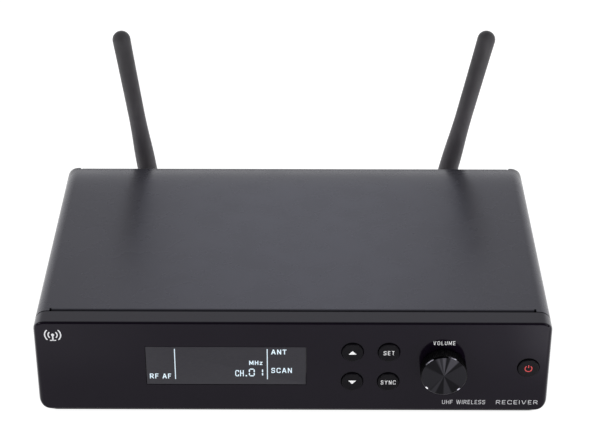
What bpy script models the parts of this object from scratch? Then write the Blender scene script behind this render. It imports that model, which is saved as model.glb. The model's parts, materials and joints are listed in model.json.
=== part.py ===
"""Half-rack wireless microphone receiver, as an assembly of its real pieces.

Frame: +X to the right of someone facing the front panel, +Y to the back, +Z up. The origin is
on the table, under the middle of the overall footprint, which runs from the front of the volume
knob to the back of the antenna knuckles. Depths are counted backwards from the front panel's face.
"""

import math

import bmesh
import bpy
from mathutils import Vector

MM = 0.001
TURN = 2 * math.pi

# Housing
HOUSING_WIDTH = 200 * MM
HOUSING_HEIGHT = 42 * MM
FOOT_HEIGHT = 2.5 * MM
SHEET = 0.8 * MM
GAP = 0.3 * MM
FINE_GAP = 0.2 * MM
CORNER = 4.8 * MM
BASE_Z = FOOT_HEIGHT
TOP_Z = BASE_Z + HOUSING_HEIGHT
MID_Z = BASE_Z + HOUSING_HEIGHT / 2
HALF_WIDTH = HOUSING_WIDTH / 2

# Depths behind the front face
BEZEL_DEPTH = 7.1 * MM
BEZEL_WALL = 2.5 * MM
LID_START = BEZEL_DEPTH + GAP
FOLD_START = 8.2 * MM
FOLD_END = 119.7 * MM
LID_END = 120.2 * MM
REAR_PANEL = 118.0 * MM
BOARD_FRONT = 9.5 * MM
BOARD_THICKNESS = 1.6 * MM

# Front panel controls
KNOB_X = 58.45 * MM
KNOB_RADIUS = 9.0 * MM
KNOB_REACH = 6.2 * MM
DISC_THICKNESS = 0.8 * MM
SHAFT_RADIUS = 3.0 * MM
BUTTON_RADIUS = 4.1 * MM
BUTTON_HOLE = 4.4 * MM
BUTTON_STANDS = 0.8 * MM
BUTTON_PLACES = {
    "up": (23.2 * MM, 30.5 * MM),
    "down": (23.2 * MM, 16.6 * MM),
    "set": (37.3 * MM, 30.5 * MM),
    "sync": (37.3 * MM, 16.6 * MM),
    "power": (91.6 * MM, 23.3 * MM),
}
WINDOW_SIZE = (62.3 * MM, 17.9 * MM)
WINDOW_CENTRE = (-25.95 * MM, 23.75 * MM)

# Rear panel
BNC_PLACES = {"left": -65.6 * MM, "right": 67.4 * MM}
BNC_Z = MID_Z
XLR_PLACE = (-30 * MM, 20.5 * MM)
JACK_PLACE = (2 * MM, 16.6 * MM)
DC_PLACE = (32 * MM, 14.2 * MM)
HOOK_X = 46 * MM
LID_SCREW_PLACES = ((-8 * MM, 40.5 * MM), (36 * MM, 40.5 * MM))

# Antennas
PIN_DEPTH = 140 * MM
PIN_RADIUS = 1.5 * MM
PIN_HOLE = 1.6 * MM
PIN_HALF = 4.9 * MM
KNUCKLE_RADIUS = 4.6 * MM
TONGUE_HALF = 2.4 * MM
ROD_LENGTH = 79.9 * MM
# How far each rod leans to the right, and nods to the front, in degrees
LEANS = {"left": -7.2, "right": 12.1}
NODS = {"left": 2.2, "right": 0}

# Circuit boards and screws
MAIN_BOARD_Z = 6.5 * MM
MAIN_BOARD_TOP = MAIN_BOARD_Z + BOARD_THICKNESS
STANDOFFS = [(x * MM, d * MM) for x in (-82, 82) for d in (24, 92)]
SIDE_SCREWS = {"front": 25 * MM, "rear": 100 * MM}
SIDE_SCREW_Z = 10.5 * MM
BEZEL_SCREWS = {"left": -78 * MM, "right": 78 * MM}
BEZEL_SCREW_DEPTH = 12 * MM
FOOT_PLACES = {
    "front_left": (-84, 20),
    "front_right": (84, 20),
    "rear_left": (-84, 104),
    "rear_right": (84, 104),
}

# The front face stands ahead of the origin, so that the footprint is centred on it
FRONT = (KNOB_REACH - PIN_DEPTH - KNUCKLE_RADIUS) / 2

FACING_FRONT = (math.pi / 2, 0, 0)
FACING_BACK = (-math.pi / 2, 0, 0)
FACING_UP = (0, 0, 0)
FACING_DOWN = (math.pi, 0, 0)
FACING_RIGHT = (0, math.pi / 2, 0)
FACING_LEFT = (0, -math.pi / 2, 0)
ACROSS = (math.pi / 2, 0, math.pi / 2)

MATERIALS = {
    "lid_paint": ((0.055, 0.055, 0.062), 0.42, 0.6),
    "chassis_paint": ((0.03, 0.03, 0.033), 0.5, 0.5),
    "panel_black": ((0.012, 0.012, 0.014), 0.25, 0.0),
    "window_grey": ((0.06, 0.06, 0.065), 0.2, 0.0),
    "button_black": ((0.012, 0.012, 0.013), 0.45, 0.0),
    "knob_black": ((0.008, 0.008, 0.009), 0.4, 0.0),
    "disc_metal": ((0.06, 0.06, 0.065), 0.28, 1.0),
    "antenna_black": ((0.03, 0.028, 0.03), 0.55, 0.0),
    "rubber_black": ((0.02, 0.02, 0.02), 0.85, 0.0),
    "nickel": ((0.6, 0.58, 0.54), 0.28, 1.0),
    "connector_black": ((0.02, 0.02, 0.02), 0.5, 0.0),
    "screw_black": ((0.03, 0.03, 0.03), 0.35, 0.9),
    "tinplate": ((0.7, 0.7, 0.7), 0.35, 1.0),
    "board_green": ((0.02, 0.16, 0.06), 0.5, 0.0),
    "lcd_glass": ((0.05, 0.06, 0.055), 0.1, 0.0),
    "cable_grey": ((0.25, 0.25, 0.25), 0.6, 0.0),
}


def clear_scene():
    for obj in list(bpy.data.objects):
        bpy.data.objects.remove(obj, do_unlink=True)


def new_collection(name):
    made = bpy.data.collections.new(name)
    bpy.context.scene.collection.children.link(made)
    return made


def make_materials():
    for name, (colour, roughness, metallic) in MATERIALS.items():
        made = bpy.data.materials.new(name)
        made.use_nodes = True
        shader = made.node_tree.nodes["Principled BSDF"]
        shader.inputs["Base Color"].default_value = (*colour, 1)
        shader.inputs["Roughness"].default_value = roughness
        shader.inputs["Metallic"].default_value = metallic


def add_object(name, data, material, place=(0, 0, 0), rotation=FACING_UP):
    """A part of the receiver. With no material it is a cutter, kept as a wire guide."""
    obj = bpy.data.objects.new(name, data)
    obj.location = place
    obj.rotation_euler = rotation
    if material:
        data.materials.append(bpy.data.materials[material])
        parts.objects.link(obj)
    else:
        obj.hide_render = True
        obj.display_type = "WIRE"
        cutters.objects.link(obj)
    return obj


def mesh_from(bm, name):
    mesh = bpy.data.meshes.new(name)
    bm.to_mesh(mesh)
    bm.free()
    return mesh


def box(name, low, high, material=None):
    """A box from its corners, as (x, depth, z). Its origin is at its middle."""
    low = Vector((low[0], FRONT + low[1], low[2]))
    high = Vector((high[0], FRONT + high[1], high[2]))
    bm = bmesh.new()
    bmesh.ops.create_cube(bm, size=1)
    bmesh.ops.scale(bm, vec=high - low, verts=bm.verts)
    return add_object(name, mesh_from(bm, name), material, (low + high) / 2)


def cylinder(name, place, facing, radius, start, end, material=None, sides=20):
    """A cylinder at place (x, depth, z), which runs from start to end along its facing."""
    bm = bmesh.new()
    bmesh.ops.create_cone(
        bm, cap_ends=True, segments=sides, radius1=radius, radius2=radius, depth=end - start
    )
    bmesh.ops.translate(bm, vec=(0, 0, (start + end) / 2), verts=bm.verts)
    where = (place[0], FRONT + place[1], place[2])
    obj = add_object(name, mesh_from(bm, name), material, where, facing)
    obj.data.shade_smooth()
    obj.data.set_sharp_from_angle(angle=math.radians(40))
    return obj


def turned(name, profile, place, facing, material=None, steps=24):
    """A turned solid: profile is (radius, height) from the top of the axis down its outer side."""
    bm = bmesh.new()
    points = [bm.verts.new((radius, 0, height)) for radius, height in profile]
    for above, below in zip(points, points[1:]):
        bm.edges.new((above, below))
    if min(radius for radius, _ in profile) > 0:
        bm.edges.new((points[-1], points[0]))
    where = (place[0], FRONT + place[1], place[2])
    obj = add_object(name, mesh_from(bm, name), material, where, facing)
    screw = obj.modifiers.new("turn", "SCREW")
    screw.steps = screw.render_steps = steps
    screw.use_merge_vertices = True
    screw.merge_threshold = 0.00001
    return obj


def rounded_rectangle(width, height, radius, steps=4):
    """The points of a rectangle about the origin, with its corners as arcs."""
    points = []
    for quarter in range(4):
        corner = Vector((width / 2 - radius, height / 2 - radius))
        if quarter in (1, 2):
            corner.x = -corner.x
        if quarter in (2, 3):
            corner.y = -corner.y
        for step in range(steps + 1):
            angle = TURN / 4 * (quarter + step / steps)
            points.append(corner + radius * Vector((math.cos(angle), math.sin(angle))))
    return points


def plate(name, outline, thickness, place, facing, material=None):
    """A flat outline given its thickness, centred on place (x, depth, z), as a mesh."""
    curve = bpy.data.curves.new(name, "CURVE")
    curve.dimensions = "2D"
    curve.fill_mode = "BOTH"
    curve.extrude = thickness / 2
    spline = curve.splines.new("POLY")
    spline.points.add(len(outline) - 1)
    for point, (x, y) in zip(spline.points, outline):
        point.co = (x, y, 0, 1)
    spline.use_cyclic_u = True
    drawn = bpy.data.objects.new(name, curve)
    bpy.context.scene.collection.objects.link(drawn)
    graph = bpy.context.evaluated_depsgraph_get()
    mesh = bpy.data.meshes.new_from_object(drawn.evaluated_get(graph))
    bpy.data.objects.remove(drawn)
    bm = bmesh.new()
    bm.from_mesh(mesh)
    bmesh.ops.remove_doubles(bm, verts=bm.verts, dist=0.00001)
    bmesh.ops.recalc_face_normals(bm, faces=bm.faces)
    bm.to_mesh(mesh)
    bm.free()
    where = (place[0], FRONT + place[1], place[2])
    return add_object(name, mesh, material, where, facing)


def combine(obj, operation, others):
    for other in others:
        boolean = obj.modifiers.new(other.name, "BOOLEAN")
        boolean.operation = operation
        boolean.object = other
    return obj


def cut(obj, *others):
    return combine(obj, "DIFFERENCE", others)


def join(obj, *others):
    return combine(obj, "UNION", others)


def round_edges(obj, width, segments=2, angle=50):
    bevel = obj.modifiers.new("round", "BEVEL")
    bevel.width = width
    bevel.segments = segments
    bevel.limit_method = "ANGLE"
    bevel.angle_limit = math.radians(angle)
    return obj


def ring(name, place, facing, outer, inner, start, end, material, sides=20):
    """A tube, turned from a square-cornered profile."""
    profile = [(inner, end), (outer, end), (outer, start), (inner, start)]
    return turned(name, profile, place, facing, material, sides)


def fold_path():
    """The lid's middle strip from flange to flange, as (depth, z), its folds as arcs."""
    flange_z = TOP_Z - 7 * MM
    bend = 0.5 * MM
    steps = 3
    front = [(FOLD_START, flange_z)]
    for step in range(steps + 1):
        angle = TURN / 4 * step / steps
        depth = FOLD_START + bend * (1 - math.cos(angle))
        front.append((depth, TOP_Z - bend * (1 - math.sin(angle))))
    middle = FOLD_START + FOLD_END
    rear = [(middle - depth, z) for depth, z in reversed(front)]
    return front + [(FOLD_START + 1.2 * MM, TOP_Z), (FOLD_END - 0.9 * MM, TOP_Z)] + rear


def make_lid():
    """The folded steel lid: one sheet with round long corners, and flanges folded down at the
    front and back of its top between two relief notches at each end."""
    bm = bmesh.new()
    strip_half = 93.4 * MM
    side_half = 94.3 * MM
    path = fold_path()
    flat = [i for i, (_, z) in enumerate(path) if z == TOP_Z]
    notch_front = flat[1]
    notch_rear = flat[-2]
    rows = {}
    for side in (-1, 1):
        rows[side] = [bm.verts.new((side * strip_half, FRONT + d, z)) for d, z in path]
    for i in range(len(path) - 1):
        quad = (rows[-1][i], rows[-1][i + 1], rows[1][i + 1], rows[1][i])
        bm.faces.new(quad)
    stations = [LID_START, path[notch_front][0], path[notch_rear][0], LID_END]
    arc_steps = 6
    for side in (-1, 1):
        section = [(side * side_half, TOP_Z)]
        for step in range(arc_steps + 1):
            angle = TURN / 4 * step / arc_steps
            x = HALF_WIDTH - CORNER + CORNER * math.sin(angle)
            section.append((side * x, TOP_Z - CORNER + CORNER * math.cos(angle)))
        section.append((side * HALF_WIDTH, BASE_Z + GAP))
        grid = [[bm.verts.new((x, FRONT + d, z)) for d in stations] for x, z in section]
        for near, far in zip(grid, grid[1:]):
            for i in range(len(stations) - 1):
                bm.faces.new((near[i], far[i], far[i + 1], near[i + 1]))
        strip = rows[side]
        bm.faces.new((strip[notch_front], grid[0][1], grid[0][2], strip[notch_rear]))
    bmesh.ops.recalc_face_normals(bm, faces=bm.faces)
    if max(bm.faces, key=lambda face: face.calc_center_median().z).normal.z < 0:
        bmesh.ops.reverse_faces(bm, faces=bm.faces)
    lid = add_object("top_cover", mesh_from(bm, "top_cover"), "lid_paint")
    thickness = lid.modifiers.new("sheet", "SOLIDIFY")
    thickness.thickness = SHEET
    thickness.offset = -1
    thickness.use_even_offset = True
    for end, depth in SIDE_SCREWS.items():
        place = (0, depth, SIDE_SCREW_Z)
        reach = HALF_WIDTH + 5 * MM
        cut(lid, cylinder(f"lid_hole_{end}", place, FACING_RIGHT, 3.1 * MM, -reach, reach, sides=16))
    for x, z in LID_SCREW_PLACES:
        cut(lid, cylinder("flange_hole", (x, FOLD_END, z), FACING_BACK, 1.6 * MM, -3 * MM, 3 * MM, sides=12))


def make_chassis():
    """The folded steel tray: floor, low side flanges and the rear panel with its cut-outs."""
    half = HALF_WIDTH - SHEET - GAP
    chassis = box(
        "base_chassis",
        (-half, LID_START, BASE_Z),
        (half, REAR_PANEL - SHEET / 2, BASE_Z + SHEET),
        "chassis_paint",
    )
    for side in (-1, 1):
        outer = sorted((side * half, side * (half - SHEET)))
        low = (outer[0], 12 * MM, BASE_Z + SHEET / 4)
        high = (outer[1], 116 * MM, BASE_Z + 14 * MM)
        join(chassis, box(f"side_flange_{side}", low, high))
    wall_top = TOP_Z - SHEET - GAP
    wall_height = wall_top - BASE_Z
    outline = rounded_rectangle(2 * half, wall_height, CORNER - SHEET, steps=3)
    place = (0, REAR_PANEL - SHEET / 2, (BASE_Z + wall_top) / 2)
    join(chassis, plate("rear_wall", outline, SHEET, place, FACING_FRONT))
    foot = BASE_Z + SHEET / 4
    top = MAIN_BOARD_Z - GAP
    for i, (x, depth) in enumerate(STANDOFFS):
        place = (x, depth, 0)
        join(chassis, cylinder(f"standoff_{i}", place, FACING_UP, 3 * MM, foot, top, sides=12))
    holes = [
        ("xlr_hole", XLR_PLACE, 12.0 * MM, 24),
        ("jack_hole", JACK_PLACE, 5.4 * MM, 16),
        ("dc_hole", DC_PLACE, 4.4 * MM, 16),
    ]
    for side, x in BNC_PLACES.items():
        holes.append((f"bnc_hole_{side}", (x, BNC_Z), 5.1 * MM, 16))
    for x, z in LID_SCREW_PLACES:
        holes.append(("lid_screw_hole", (x, z), 1.6 * MM, 10))
    for side in (-1, 1):
        holes.append(("flange_screw_hole", xlr_screw_place(side), 1.5 * MM, 10))
    for name, (x, z), radius, sides in holes:
        place = (x, REAR_PANEL, z)
        cut(chassis, cylinder(name, place, FACING_BACK, radius, -4 * MM, 4 * MM, sides=sides))
    for end, depth in SIDE_SCREWS.items():
        place = (0, depth, SIDE_SCREW_Z)
        reach = HALF_WIDTH + 5 * MM
        cut(chassis, cylinder(f"side_hole_{end}", place, FACING_RIGHT, 1.6 * MM, -reach, reach, sides=10))
    for side, x in BEZEL_SCREWS.items():
        place = (x, BEZEL_SCREW_DEPTH, BASE_Z)
        cut(chassis, cylinder(f"floor_hole_{side}", place, FACING_UP, 1.6 * MM, -4 * MM, 4 * MM, sides=12))


def make_bezel():
    """The moulded front panel: a shallow tray with a rounded front rim, the apertures for the
    window, buttons and knob, posts for the front board and two lugs over the chassis floor."""
    outline = rounded_rectangle(HOUSING_WIDTH, HOUSING_HEIGHT, CORNER)
    place = (0, BEZEL_DEPTH / 2, MID_Z)
    bezel = plate("front_bezel", outline, BEZEL_DEPTH, place, FACING_FRONT, "panel_black")
    rim = bezel.data.attributes.new("bevel_weight_edge", "FLOAT", "EDGE")
    front_height = max(v.co.z for v in bezel.data.vertices) - GAP
    for edge in bezel.data.edges:
        if all(bezel.data.vertices[i].co.z > front_height for i in edge.vertices):
            rim.data[edge.index].value = 1
    bevel = bezel.modifiers.new("rim", "BEVEL")
    bevel.limit_method = "WEIGHT"
    bevel.width = 1.2 * MM
    bevel.segments = 3
    wall = 2.2 * MM
    hollow = rounded_rectangle(
        HOUSING_WIDTH - 2 * wall, HOUSING_HEIGHT - 2 * wall, CORNER - wall, steps=3
    )
    hollow_depth = 10 * MM
    place = (0, BEZEL_WALL + hollow_depth / 2, MID_Z)
    cut(bezel, plate("bezel_hollow", hollow, hollow_depth, place, FACING_FRONT))
    for i, (x, z) in enumerate(board_posts()):
        post = cylinder(f"post_{i}", (x, 0, z), FACING_BACK, 2.4 * MM, 2 * MM, BOARD_FRONT - GAP, sides=8)
        join(bezel, post)
    for side, x in BEZEL_SCREWS.items():
        low = (x - 6 * MM, BEZEL_DEPTH - 1.5 * MM, BASE_Z + SHEET + GAP)
        high = (x + 6 * MM, BEZEL_SCREW_DEPTH + 4 * MM, BASE_Z + SHEET + 4 * MM)
        join(bezel, box(f"lug_{side}", low, high))
        hole = (x, BEZEL_SCREW_DEPTH, BASE_Z)
        cut(bezel, cylinder(f"lug_hole_{side}", hole, FACING_UP, 1.5 * MM, -MM, 3.8 * MM, sides=12))
    width, height = WINDOW_SIZE
    x, z = WINDOW_CENTRE
    opening = rounded_rectangle(width, height, 0.4 * MM, 2)
    cut(bezel, plate("aperture", opening, 8 * MM, (x, 0, z), FACING_FRONT))
    for name, (x, z) in BUTTON_PLACES.items():
        hole = cylinder(f"{name}_hole", (x, 0, z), FACING_FRONT, BUTTON_HOLE, -4 * MM, 4 * MM)
        cut(bezel, hole)
    knob_hole = cylinder("knob_hole", (KNOB_X, 0, MID_Z), FACING_FRONT, 3.9 * MM, -4 * MM, 4 * MM)
    cut(bezel, knob_hole)


def board_posts():
    """Places of the four posts which carry the front board, as (x, z)."""
    return [(x * MM, z * MM) for x in (-92, 75) for z in (12, 34.5)]


def make_display():
    width, height = WINDOW_SIZE
    x, z = WINDOW_CENTRE
    outline = rounded_rectangle(width - FINE_GAP, height - FINE_GAP, 0.3 * MM, 2)
    face = 0.05 * MM
    flange_middle = BEZEL_WALL + GAP + 0.4 * MM
    place = (x, (flange_middle + face) / 2, z)
    thickness = flange_middle - face
    window = plate("display_window", outline, thickness, place, FACING_FRONT, "window_grey")
    flange = rounded_rectangle(width + 4 * MM, height + 4 * MM, 1 * MM, 2)
    join(window, plate("window_flange", flange, 0.8 * MM, (x, flange_middle, z), FACING_FRONT))
    half_w, half_h = width / 2, height / 2
    margins = {"lcd_panel": (1.5 * MM, 4.0 * MM, 5.8 * MM, "lcd_glass"),
               "lcd_frame": (2.5 * MM, 6.1 * MM, 9.2 * MM, "connector_black")}
    for name, (margin, near, far, material) in margins.items():
        low = (x - half_w - margin, near, z - half_h - margin)
        box(name, low, (x + half_w + margin, far, z + half_h + margin), material)


def make_buttons():
    """Each button is a cap with a retaining flange behind the panel and a stem, which works a
    switch on the front board."""
    flange_near = BEZEL_WALL + 0.4 * MM
    flange_far = flange_near + 0.8 * MM
    stem_end = 6.4 * MM
    face = BUTTON_STANDS
    crown = 0.25 * MM
    profile = [
        (0, face),
        (BUTTON_RADIUS - crown, face),
        (BUTTON_RADIUS, face - crown),
        (BUTTON_RADIUS, -flange_near),
        (BUTTON_RADIUS + 1 * MM, -flange_near),
        (BUTTON_RADIUS + 1 * MM, -flange_far),
        (1.5 * MM, -flange_far),
        (1.5 * MM, -stem_end),
        (0, -stem_end),
    ]
    for name, (x, z) in BUTTON_PLACES.items():
        turned(f"{name}_button", profile, (x, 0, z), FACING_FRONT, "button_black", 20)
        low = (x - 3 * MM, 6.0 * MM, z - 3 * MM)
        high = (x + 3 * MM, BOARD_FRONT - GAP, z + 3 * MM)
        switch = box(f"{name}_switch", low, high, "connector_black")
        well = cylinder(f"{name}_well", (x, 0, z), FACING_BACK, 1.9 * MM, 5 * MM, 7.8 * MM, sides=16)
        cut(switch, well)


def make_knob():
    """The ribbed volume knob with its metal face, on the potentiometer's shaft."""
    place = (KNOB_X, 0, MID_Z)
    back = 0.6 * MM
    seat = KNOB_REACH - DISC_THICKNESS - 0.1 * MM
    hub = 5.0 * MM
    skirt = KNOB_RADIUS - 1.3 * MM
    hollow = 3.4 * MM
    bore = SHAFT_RADIUS + FINE_GAP
    bore_end = 4.3 * MM
    profile = [
        (0, seat),
        (KNOB_RADIUS, seat),
        (KNOB_RADIUS, back),
        (skirt, back),
        (skirt, hollow),
        (hub, hollow),
        (hub, back),
        (bore, back),
        (bore, bore_end),
        (0, bore_end),
    ]
    turned("volume_knob", profile, place, FACING_FRONT, "knob_black", 36)
    chamfer = 0.35 * MM
    rim = KNOB_RADIUS - 0.05 * MM
    disc = [
        (0, KNOB_REACH),
        (rim - chamfer, KNOB_REACH),
        (rim, KNOB_REACH - chamfer),
        (rim, KNOB_REACH - DISC_THICKNESS),
        (0, KNOB_REACH - DISC_THICKNESS),
    ]
    turned("knob_face_disc", disc, place, FACING_FRONT, "disc_metal", 36)
    cylinder("potentiometer_shaft", place, FACING_FRONT, SHAFT_RADIUS, -5.5 * MM, 4.2 * MM, "nickel")
    half = 6.2 * MM
    body = box(
        "potentiometer",
        (KNOB_X - half, 3.4 * MM, MID_Z - half),
        (KNOB_X + half, BOARD_FRONT - GAP, MID_Z + half),
        "tinplate",
    )
    join(body, cylinder("bushing", place, FACING_BACK, 3.6 * MM, 1.2 * MM, 4 * MM))
    cut(body, cylinder("shaft_bore", place, FACING_BACK, SHAFT_RADIUS + FINE_GAP, 0, 5.8 * MM))


def make_boards():
    board = box(
        "front_circuit_board",
        (-96 * MM, BOARD_FRONT, 9 * MM),
        (96 * MM, BOARD_FRONT + BOARD_THICKNESS, 39 * MM),
        "board_green",
    )
    for i, (x, z) in enumerate(board_posts()):
        place = (x, BOARD_FRONT, z)
        cut(board, cylinder(f"board_hole_{i}", place, FACING_BACK, 1.3 * MM, -MM, 3 * MM, sides=12))
    board = box(
        "main_circuit_board",
        (-90 * MM, 18 * MM, MAIN_BOARD_Z),
        (90 * MM, 112 * MM, MAIN_BOARD_TOP),
        "board_green",
    )
    for i, (x, depth) in enumerate(STANDOFFS):
        place = (x, depth, MAIN_BOARD_Z)
        cut(board, cylinder(f"main_hole_{i}", place, FACING_UP, 1.6 * MM, -MM, 3 * MM, sides=12))
    on_board = MAIN_BOARD_TOP + FINE_GAP
    for side, x in {"left": -60 * MM, "right": 50 * MM}.items():
        low = (x - 18 * MM, 40 * MM, on_board)
        high = (x + 18 * MM, 80 * MM, on_board + 6 * MM)
        can = box(f"rf_shield_{side}", low, high, "tinplate")
        wall = 0.4 * MM
        inside = box(
            f"shield_hollow_{side}",
            (low[0] + wall, low[1] + wall, low[2] - MM),
            (high[0] - wall, high[1] - wall, high[2] - wall),
        )
        cut(can, inside)
    make_ribbon()


def make_ribbon():
    """The flat cable from the front board's back down to the main board, as a bent strip."""
    start = Vector((BOARD_FRONT + BOARD_THICKNESS + GAP, 20 * MM))
    end = Vector((28 * MM, MAIN_BOARD_TOP + FINE_GAP))
    pulls = (Vector((14 * MM, 0)), Vector((0, 12 * MM)))
    half = 8 * MM
    x = 10 * MM
    bm = bmesh.new()
    rows = []
    steps = 8
    for step in range(steps + 1):
        t = step / steps
        point = (
            start * (1 - t) ** 3
            + (start + pulls[0]) * 3 * t * (1 - t) ** 2
            + (end + pulls[1]) * 3 * t**2 * (1 - t)
            + end * t**3
        )
        rows.append([bm.verts.new((x + s * half, FRONT + point.x, point.y)) for s in (-1, 1)])
    for near, far in zip(rows, rows[1:]):
        bm.faces.new((near[0], near[1], far[1], far[0]))
    strip = add_object("ribbon_cable", mesh_from(bm, "ribbon_cable"), "cable_grey")
    thickness = strip.modifiers.new("thickness", "SOLIDIFY")
    thickness.thickness = 0.35 * MM
    thickness.offset = 1
    thickness.use_even_offset = True


def xlr_screw_place(side):
    x, z = XLR_PLACE
    return (x + side * 9.5 * MM, z - side * 12 * MM)


def make_xlr():
    """The male output: a flanged shell in the rear panel, and its insulator with three pins."""
    x, z = XLR_PLACE
    flange_near = REAR_PANEL + GAP
    flange = rounded_rectangle(26 * MM, 31 * MM, 2.5 * MM, steps=3)
    shell = plate("xlr_shell", flange, 2 * MM, (x, flange_near + MM, z), FACING_BACK, "nickel")
    place = (x, 0, z)
    mouth = flange_near + 3 * MM
    join(shell, cylinder("xlr_barrel", place, FACING_BACK, 11.6 * MM, 100 * MM, mouth, sides=28))
    cup = 9.3 * MM
    cut(shell, cylinder("xlr_cup", place, FACING_BACK, cup, 95 * MM, 130 * MM, sides=28))
    for side, name in ((-1, "left"), (1, "right")):
        hole_x, hole_z = xlr_screw_place(side)
        hole = (hole_x, REAR_PANEL, hole_z)
        cut(shell, cylinder(f"xlr_hole_{name}", hole, FACING_BACK, 1.6 * MM, -MM, 5 * MM, sides=12))
        make_pan_screw(f"xlr_screw_{name}", hole, FACING_BACK, 2.4 * MM, 1.25 * MM, 5 * MM)
    start = 100.4 * MM
    end = 105 * MM
    reach = cup - FINE_GAP
    insert = cylinder("xlr_insert", place, FACING_BACK, reach, start, end, "connector_black", 28)
    pin_circle = 4.1 * MM
    pin_foot = end - MM
    tip = 117 * MM
    profile = [
        (0, tip),
        (0.7 * MM, tip),
        (1.2 * MM, tip - MM),
        (1.2 * MM, pin_foot),
        (0, pin_foot),
    ]
    for i in range(3):
        angle = math.radians(-90 + 120 * i)
        pin = (x + pin_circle * math.cos(angle), 0, z + pin_circle * math.sin(angle))
        join(insert, turned(f"xlr_pin_{i}", profile, pin, FACING_BACK, steps=10))


def make_jack_and_dc():
    x, z = JACK_PLACE
    place = (x, 0, z)
    half = 8 * MM
    far = REAR_PANEL - SHEET - GAP
    mouth = REAR_PANEL + 4 * MM
    low = (x - half, 95 * MM, z - half)
    jack = box("jack_socket", low, (x + half, far, z + half), "connector_black")
    join(jack, cylinder("jack_bushing", place, FACING_BACK, 5.1 * MM, far - MM, mouth))
    cut(jack, cylinder("jack_bore", place, FACING_BACK, 3.3 * MM, 97 * MM, mouth + MM))
    seat = (x, REAR_PANEL + GAP, z)
    ring("jack_nut", seat, FACING_BACK, 7.6 * MM, 5.3 * MM, 0, 2.4 * MM, "connector_black")
    x, z = DC_PLACE
    place = (x, 0, z)
    dc = box(
        "dc_socket",
        (x - 4.5 * MM, 104 * MM, z - 5.5 * MM),
        (x + 4.5 * MM, far, z + 5.5 * MM),
        "connector_black",
    )
    lip = REAR_PANEL + 0.6 * MM
    join(dc, cylinder("dc_barrel", place, FACING_BACK, 4.1 * MM, far - MM, lip))
    cut(dc, cylinder("dc_bore", place, FACING_BACK, 2.9 * MM, 107 * MM, lip + MM, sides=20))
    join(dc, cylinder("dc_pin", place, FACING_BACK, 1.0 * MM, 106 * MM, lip - 0.8 * MM, sides=12))


def make_cord_hook():
    """The hook beside the power inlet, which the supply's lead is looped round."""
    arm = 2.2 * MM
    reach = 8.5 * MM
    rise = 10 * MM
    foot = 13 * MM
    outline = [
        (0, 0),
        (reach, 0),
        (reach, rise),
        (reach - arm, rise),
        (reach - arm, arm),
        (arm * 0.8, arm),
        (arm * 0.8, foot),
        (0, foot),
    ]
    place = (HOOK_X, REAR_PANEL + GAP, 9 * MM)
    hook = plate("cord_hook", outline, 9 * MM, place, ACROSS, "connector_black")
    round_edges(hook, 0.5 * MM)


def make_bnc(side, x):
    """An aerial socket with its nut, and its lead to the tuner's shield."""
    place = (x, 0, BNC_Z)
    inside = REAR_PANEL - SHEET - GAP
    bore = 4.1 * MM
    floor = 122 * MM
    mouth = 130.8 * MM
    profile = [
        (0, floor),
        (bore, floor),
        (bore, mouth),
        (4.8 * MM, mouth),
        (4.8 * MM, inside),
        (6.5 * MM, inside),
        (6.5 * MM, 112 * MM),
        (2.0 * MM, 112 * MM),
        (2.0 * MM, 109 * MM),
        (0, 109 * MM),
    ]
    socket = turned(f"bnc_socket_{side}", profile, place, FACING_BACK, "nickel", 16)
    lug = (x, 126.5 * MM, BNC_Z)
    for name, facing in (("top", FACING_UP), ("bottom", FACING_DOWN)):
        name = f"lug_{name}_{side}"
        join(socket, cylinder(name, lug, facing, 0.9 * MM, 4.4 * MM, 5.45 * MM, sides=10))
    seat = (x, REAR_PANEL + GAP, BNC_Z)
    nut = cylinder(f"bnc_nut_{side}", seat, FACING_BACK, 7.8 * MM, 0, 2 * MM, "nickel", 6)
    cut(nut, cylinder(f"nut_hole_{side}", seat, FACING_BACK, 5.1 * MM, -MM, 3 * MM, sides=16))
    make_lead(side, x)


def make_lead(side, x):
    """The thin screened lead from an aerial socket to its shield, laid along the floor."""
    outward = math.copysign(1, x)
    shield_x = -60 * MM if x < 0 else 50 * MM
    above_board = MAIN_BOARD_TOP + 1.6 * MM
    handles = [
        Vector((x, 108.6 * MM, BNC_Z)),
        Vector((x, 98 * MM, BNC_Z)),
        Vector((x + outward * 6 * MM, 90 * MM, above_board)),
        Vector((shield_x + outward * 6 * MM, 92 * MM, above_board)),
        Vector((shield_x, 80.6 * MM, above_board)),
    ]
    curve = bpy.data.curves.new(f"antenna_lead_{side}", "CURVE")
    curve.dimensions = "3D"
    curve.bevel_depth = 0.9 * MM
    curve.bevel_resolution = 2
    curve.use_fill_caps = True
    spline = curve.splines.new("POLY")
    steps = 12
    spline.points.add(steps)
    for i, point in enumerate(spline.points):
        where = along(handles, i / steps)
        point.co = (where.x, FRONT + where.y, where.z, 1)
    add_object(curve.name, curve, "cable_grey")


def along(handles, t):
    """A point on the smooth curve through the handles' polygon, at t from 0 to 1."""
    row = [h.copy() for h in handles]
    while len(row) > 1:
        row = [near.lerp(far, t) for near, far in zip(row, row[1:])]
    return row[0]


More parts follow.
